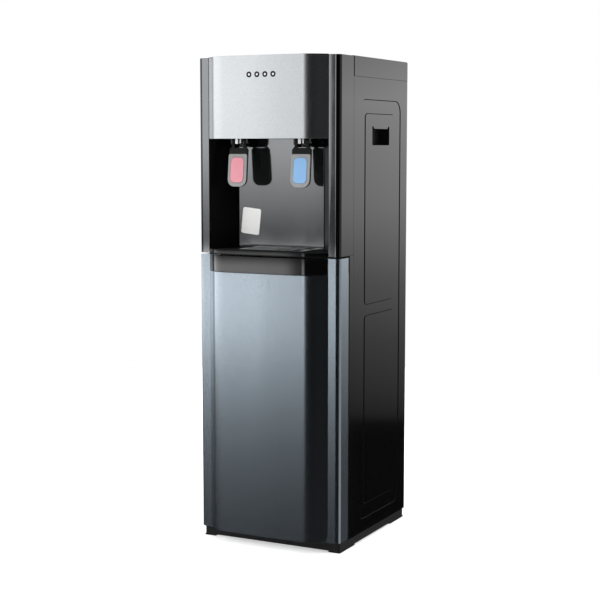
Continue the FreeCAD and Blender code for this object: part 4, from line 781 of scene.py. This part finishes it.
def studio_floor():
    """Plain pale floor that keeps the shadow and otherwise reads as white."""
    mesh = bpy.data.meshes.new("floor")
    form = bmesh.new()
    bmesh.ops.create_circle(form, cap_ends=True, segments=96, radius=FLOOR_RADIUS)
    form.to_mesh(mesh)
    form.free()
    floor = link("floor", mesh)
    made, tree, shader = finish("pale floor", "#F2F2F2", 0.9)
    glow = add(tree, "ShaderNodeEmission", {"Color": WHITE},
               {"Strength": math_node(tree, "MULTIPLY", ray_switch(tree, BACKGROUND_RAYS), FLOOR_GLOW)})
    both = add(tree, "ShaderNodeAddShader",
               links={0: shader.outputs["BSDF"], 1: glow.outputs["Emission"]})
    tree.links.new(both.outputs["Shader"], tree.nodes["Material Output"].inputs["Surface"])
    dress(floor, made)
    floor.visible_glossy = False


TENT_RADIUS = 3.0
TENT_LOW, TENT_HIGH = -2.0, 4.0
DARK_CLOTH = 0.012     # brightness of the cloth where no wall is lit
CAP_GLOW = 0.5         # brightness of the tent's roof and ground
# height in metres and brightness of the light walls, as the front and the side show them
FRONT_WALL = ((-0.9, 0.02), (-0.6, 0.06), (-0.3, 0.13), (-0.08, 0.34), (0.1, 1.8), (0.32, 3.1),
              (0.37, 1.6), (0.40, 0.15), (0.46, 0.23), (0.57, 0.58), (0.8, 1.2), (1.3, 1.3),
              (1.8, 0.6), (4.0, 0.3))
SIDE_WALL = ((-0.42, 0.01), (-0.35, 0.02), (-0.31, 0.10), (0.02, 0.30), (0.26, 0.55), (0.57, 1.12),
             (0.98, 1.55), (1.2, 1.2), (2.0, 0.8), (4.0, 0.4))
# each: degrees to the left of the front from and to, and the width of the two soft edges
FRONT_BEARINGS = (8, 95, 5, 12)            # the wall that the front shows
FLAG_BEARINGS = (19.0, 22.8, 0.6, 0.6)     # a narrow dark strip in it, seen in the right pillar
FLAG_SHADE = 0.9
REAR_BEARINGS = (143, 181, 28, 1)          # the wall behind, to the left and the right alike
RIGHT_BEARINGS = (-138, -82, 8, 10)        # a dim wall that shows from the right
RIGHT_GLOW = 0.5


def lobe(tree, socket, low, high, soft_low, soft_high):
    """1 between low and high with soft edges outside them, else 0."""
    rise = add(tree, "ShaderNodeMapRange", {"From Min": low - soft_low, "From Max": low},
               {"Value": socket}, interpolation_type="SMOOTHSTEP").outputs["Result"]
    fall = add(tree, "ShaderNodeMapRange",
               {"From Min": high, "From Max": high + soft_high, "To Min": 1.0, "To Max": 0.0},
               {"Value": socket}, interpolation_type="SMOOTHSTEP").outputs["Result"]
    return math_node(tree, "MULTIPLY", rise, fall)


def wall_profile(tree, height, stops):
    """Brightness by height, through a ramp with a stop for each (height, brightness)."""
    peak = max(level for _, level in stops)
    bottom, top = stops[0][0], stops[-1][0]
    ramp = add(tree, "ShaderNodeValToRGB", links={"Fac": spread(tree, height, 0, 1, bottom, top)})
    elements = ramp.color_ramp.elements
    elements.remove(elements[1])
    for index, (place, level) in enumerate(stops):
        position = (place - bottom) / (top - bottom)
        element = elements[0] if index == 0 else elements.new(position)
        element.position = position
        element.color = (level / peak,) * 3 + (1,)
    return math_node(tree, "MULTIPLY", ramp.outputs["Color"], peak)


def reflection_tent():
    """Dark tent that only glossy rays see, with light walls front left, right and behind."""
    middle, depth = (TENT_HIGH + TENT_LOW) / 2, TENT_HIGH - TENT_LOW
    mesh = bpy.data.meshes.new("tent")
    form = bmesh.new()
    bmesh.ops.create_cone(form, cap_ends=True, segments=96, radius1=TENT_RADIUS, radius2=TENT_RADIUS,
                          depth=depth, matrix=Matrix.Translation((0, 0, middle)))
    form.to_mesh(mesh)
    form.free()
    tent = link("reflection_tent", mesh)
    made = bpy.data.materials.new("tent cloth")
    made.use_nodes = True
    tree = made.node_tree
    tree.nodes.remove(tree.nodes["Principled BSDF"])
    place = add(tree, "ShaderNodeTexCoord").outputs["Object"]
    axes = add(tree, "ShaderNodeSeparateXYZ", links={"Vector": place}).outputs
    left = math_node(tree, "MULTIPLY", axes["X"], -1)
    front = math_node(tree, "MULTIPLY", axes["Y"], -1)
    bearing = math_node(tree, "MULTIPLY", math_node(tree, "ARCTAN2", left, front), 180 / math.pi)
    ripple = spread(tree, noise(tree, 500, 1.0), -0.06, 0.06)
    turned = math_node(tree, "ABSOLUTE", bearing)
    walls = ((bearing, FRONT_BEARINGS, FRONT_WALL, axes["Z"]),
             (turned, REAR_BEARINGS, SIDE_WALL, math_node(tree, "ADD", axes["Z"], ripple)))
    from_middle = math_node(tree, "ABSOLUTE", math_node(tree, "SUBTRACT", axes["Z"], middle))
    caps = math_node(tree, "GREATER_THAN", from_middle, depth / 2 - 0.01)
    level = math_node(tree, "MAXIMUM", math_node(tree, "MULTIPLY", caps, CAP_GLOW), DARK_CLOTH)
    dim = math_node(tree, "MULTIPLY", lobe(tree, bearing, *RIGHT_BEARINGS), RIGHT_GLOW)
    level = math_node(tree, "MAXIMUM", level, dim)
    for angle, bearings, stops, height in walls:
        wall = math_node(tree, "MULTIPLY", lobe(tree, angle, *bearings),
                         wall_profile(tree, height, stops))
        level = math_node(tree, "MAXIMUM", level, wall)
    flag = math_node(tree, "MULTIPLY", lobe(tree, bearing, *FLAG_BEARINGS), -FLAG_SHADE)
    level = math_node(tree, "MULTIPLY", level, math_node(tree, "ADD", flag, 1))
    glow = add(tree, "ShaderNodeEmission", {"Color": WHITE}, {"Strength": level})
    tree.links.new(glow.outputs["Emission"], tree.nodes["Material Output"].inputs["Surface"])
    dress(tent, made)
    for kind in ("camera", "diffuse", "transmission", "shadow"):
        setattr(tent, "visible_" + kind, False)


def soft_light(name, place, target, size, power):
    """A round lamp of that many metres and watts, left out of reflections."""
    lamp = bpy.data.lights.new(name, "AREA")
    lamp.shape = "DISK"
    lamp.size = size
    lamp.energy = power
    thing = bpy.data.objects.new(name, lamp)
    bpy.context.scene.collection.objects.link(thing)
    thing.location = place
    aim = Vector(target) - Vector(place)
    thing.rotation_euler = aim.to_track_quat("-Z", "Y").to_euler()
    thing.visible_glossy = False


studio_world()
studio_floor()
reflection_tent()
soft_light("key", (-1.8, -2.6, 2.2), (0, 0, 0.5), 1.6, 55)
soft_light("fill", (2.4, 1.6, 2.0), (0, 0, 0.5), 1.6, 30)
soft_light("top", (0, -0.2, 3.2), (0, 0, 0), 2.0, 45)


# ------------------------------------------------------------------------- camera

BEARING = 27.13        # degrees to the right of the cooler's front
SENSOR = 36            # mm
PITCH = 6.27           # degrees downwards
LENS = 84.25           # mm
CAMERA_PLACE = (1.3229, -2.5949, 0.8051)
CLIP_END = 50

view = bpy.data.cameras.new("photo view")
view.lens = LENS
view.sensor_width = SENSOR
view.clip_end = CLIP_END
camera = bpy.data.objects.new("photo view", view)
bpy.context.scene.collection.objects.link(camera)
camera.location = CAMERA_PLACE
camera.rotation_euler = (math.radians(90 - PITCH), 0, math.radians(BEARING))
bpy.context.scene.camera = camera
bpy.context.scene.view_settings.view_transform = "Standard"
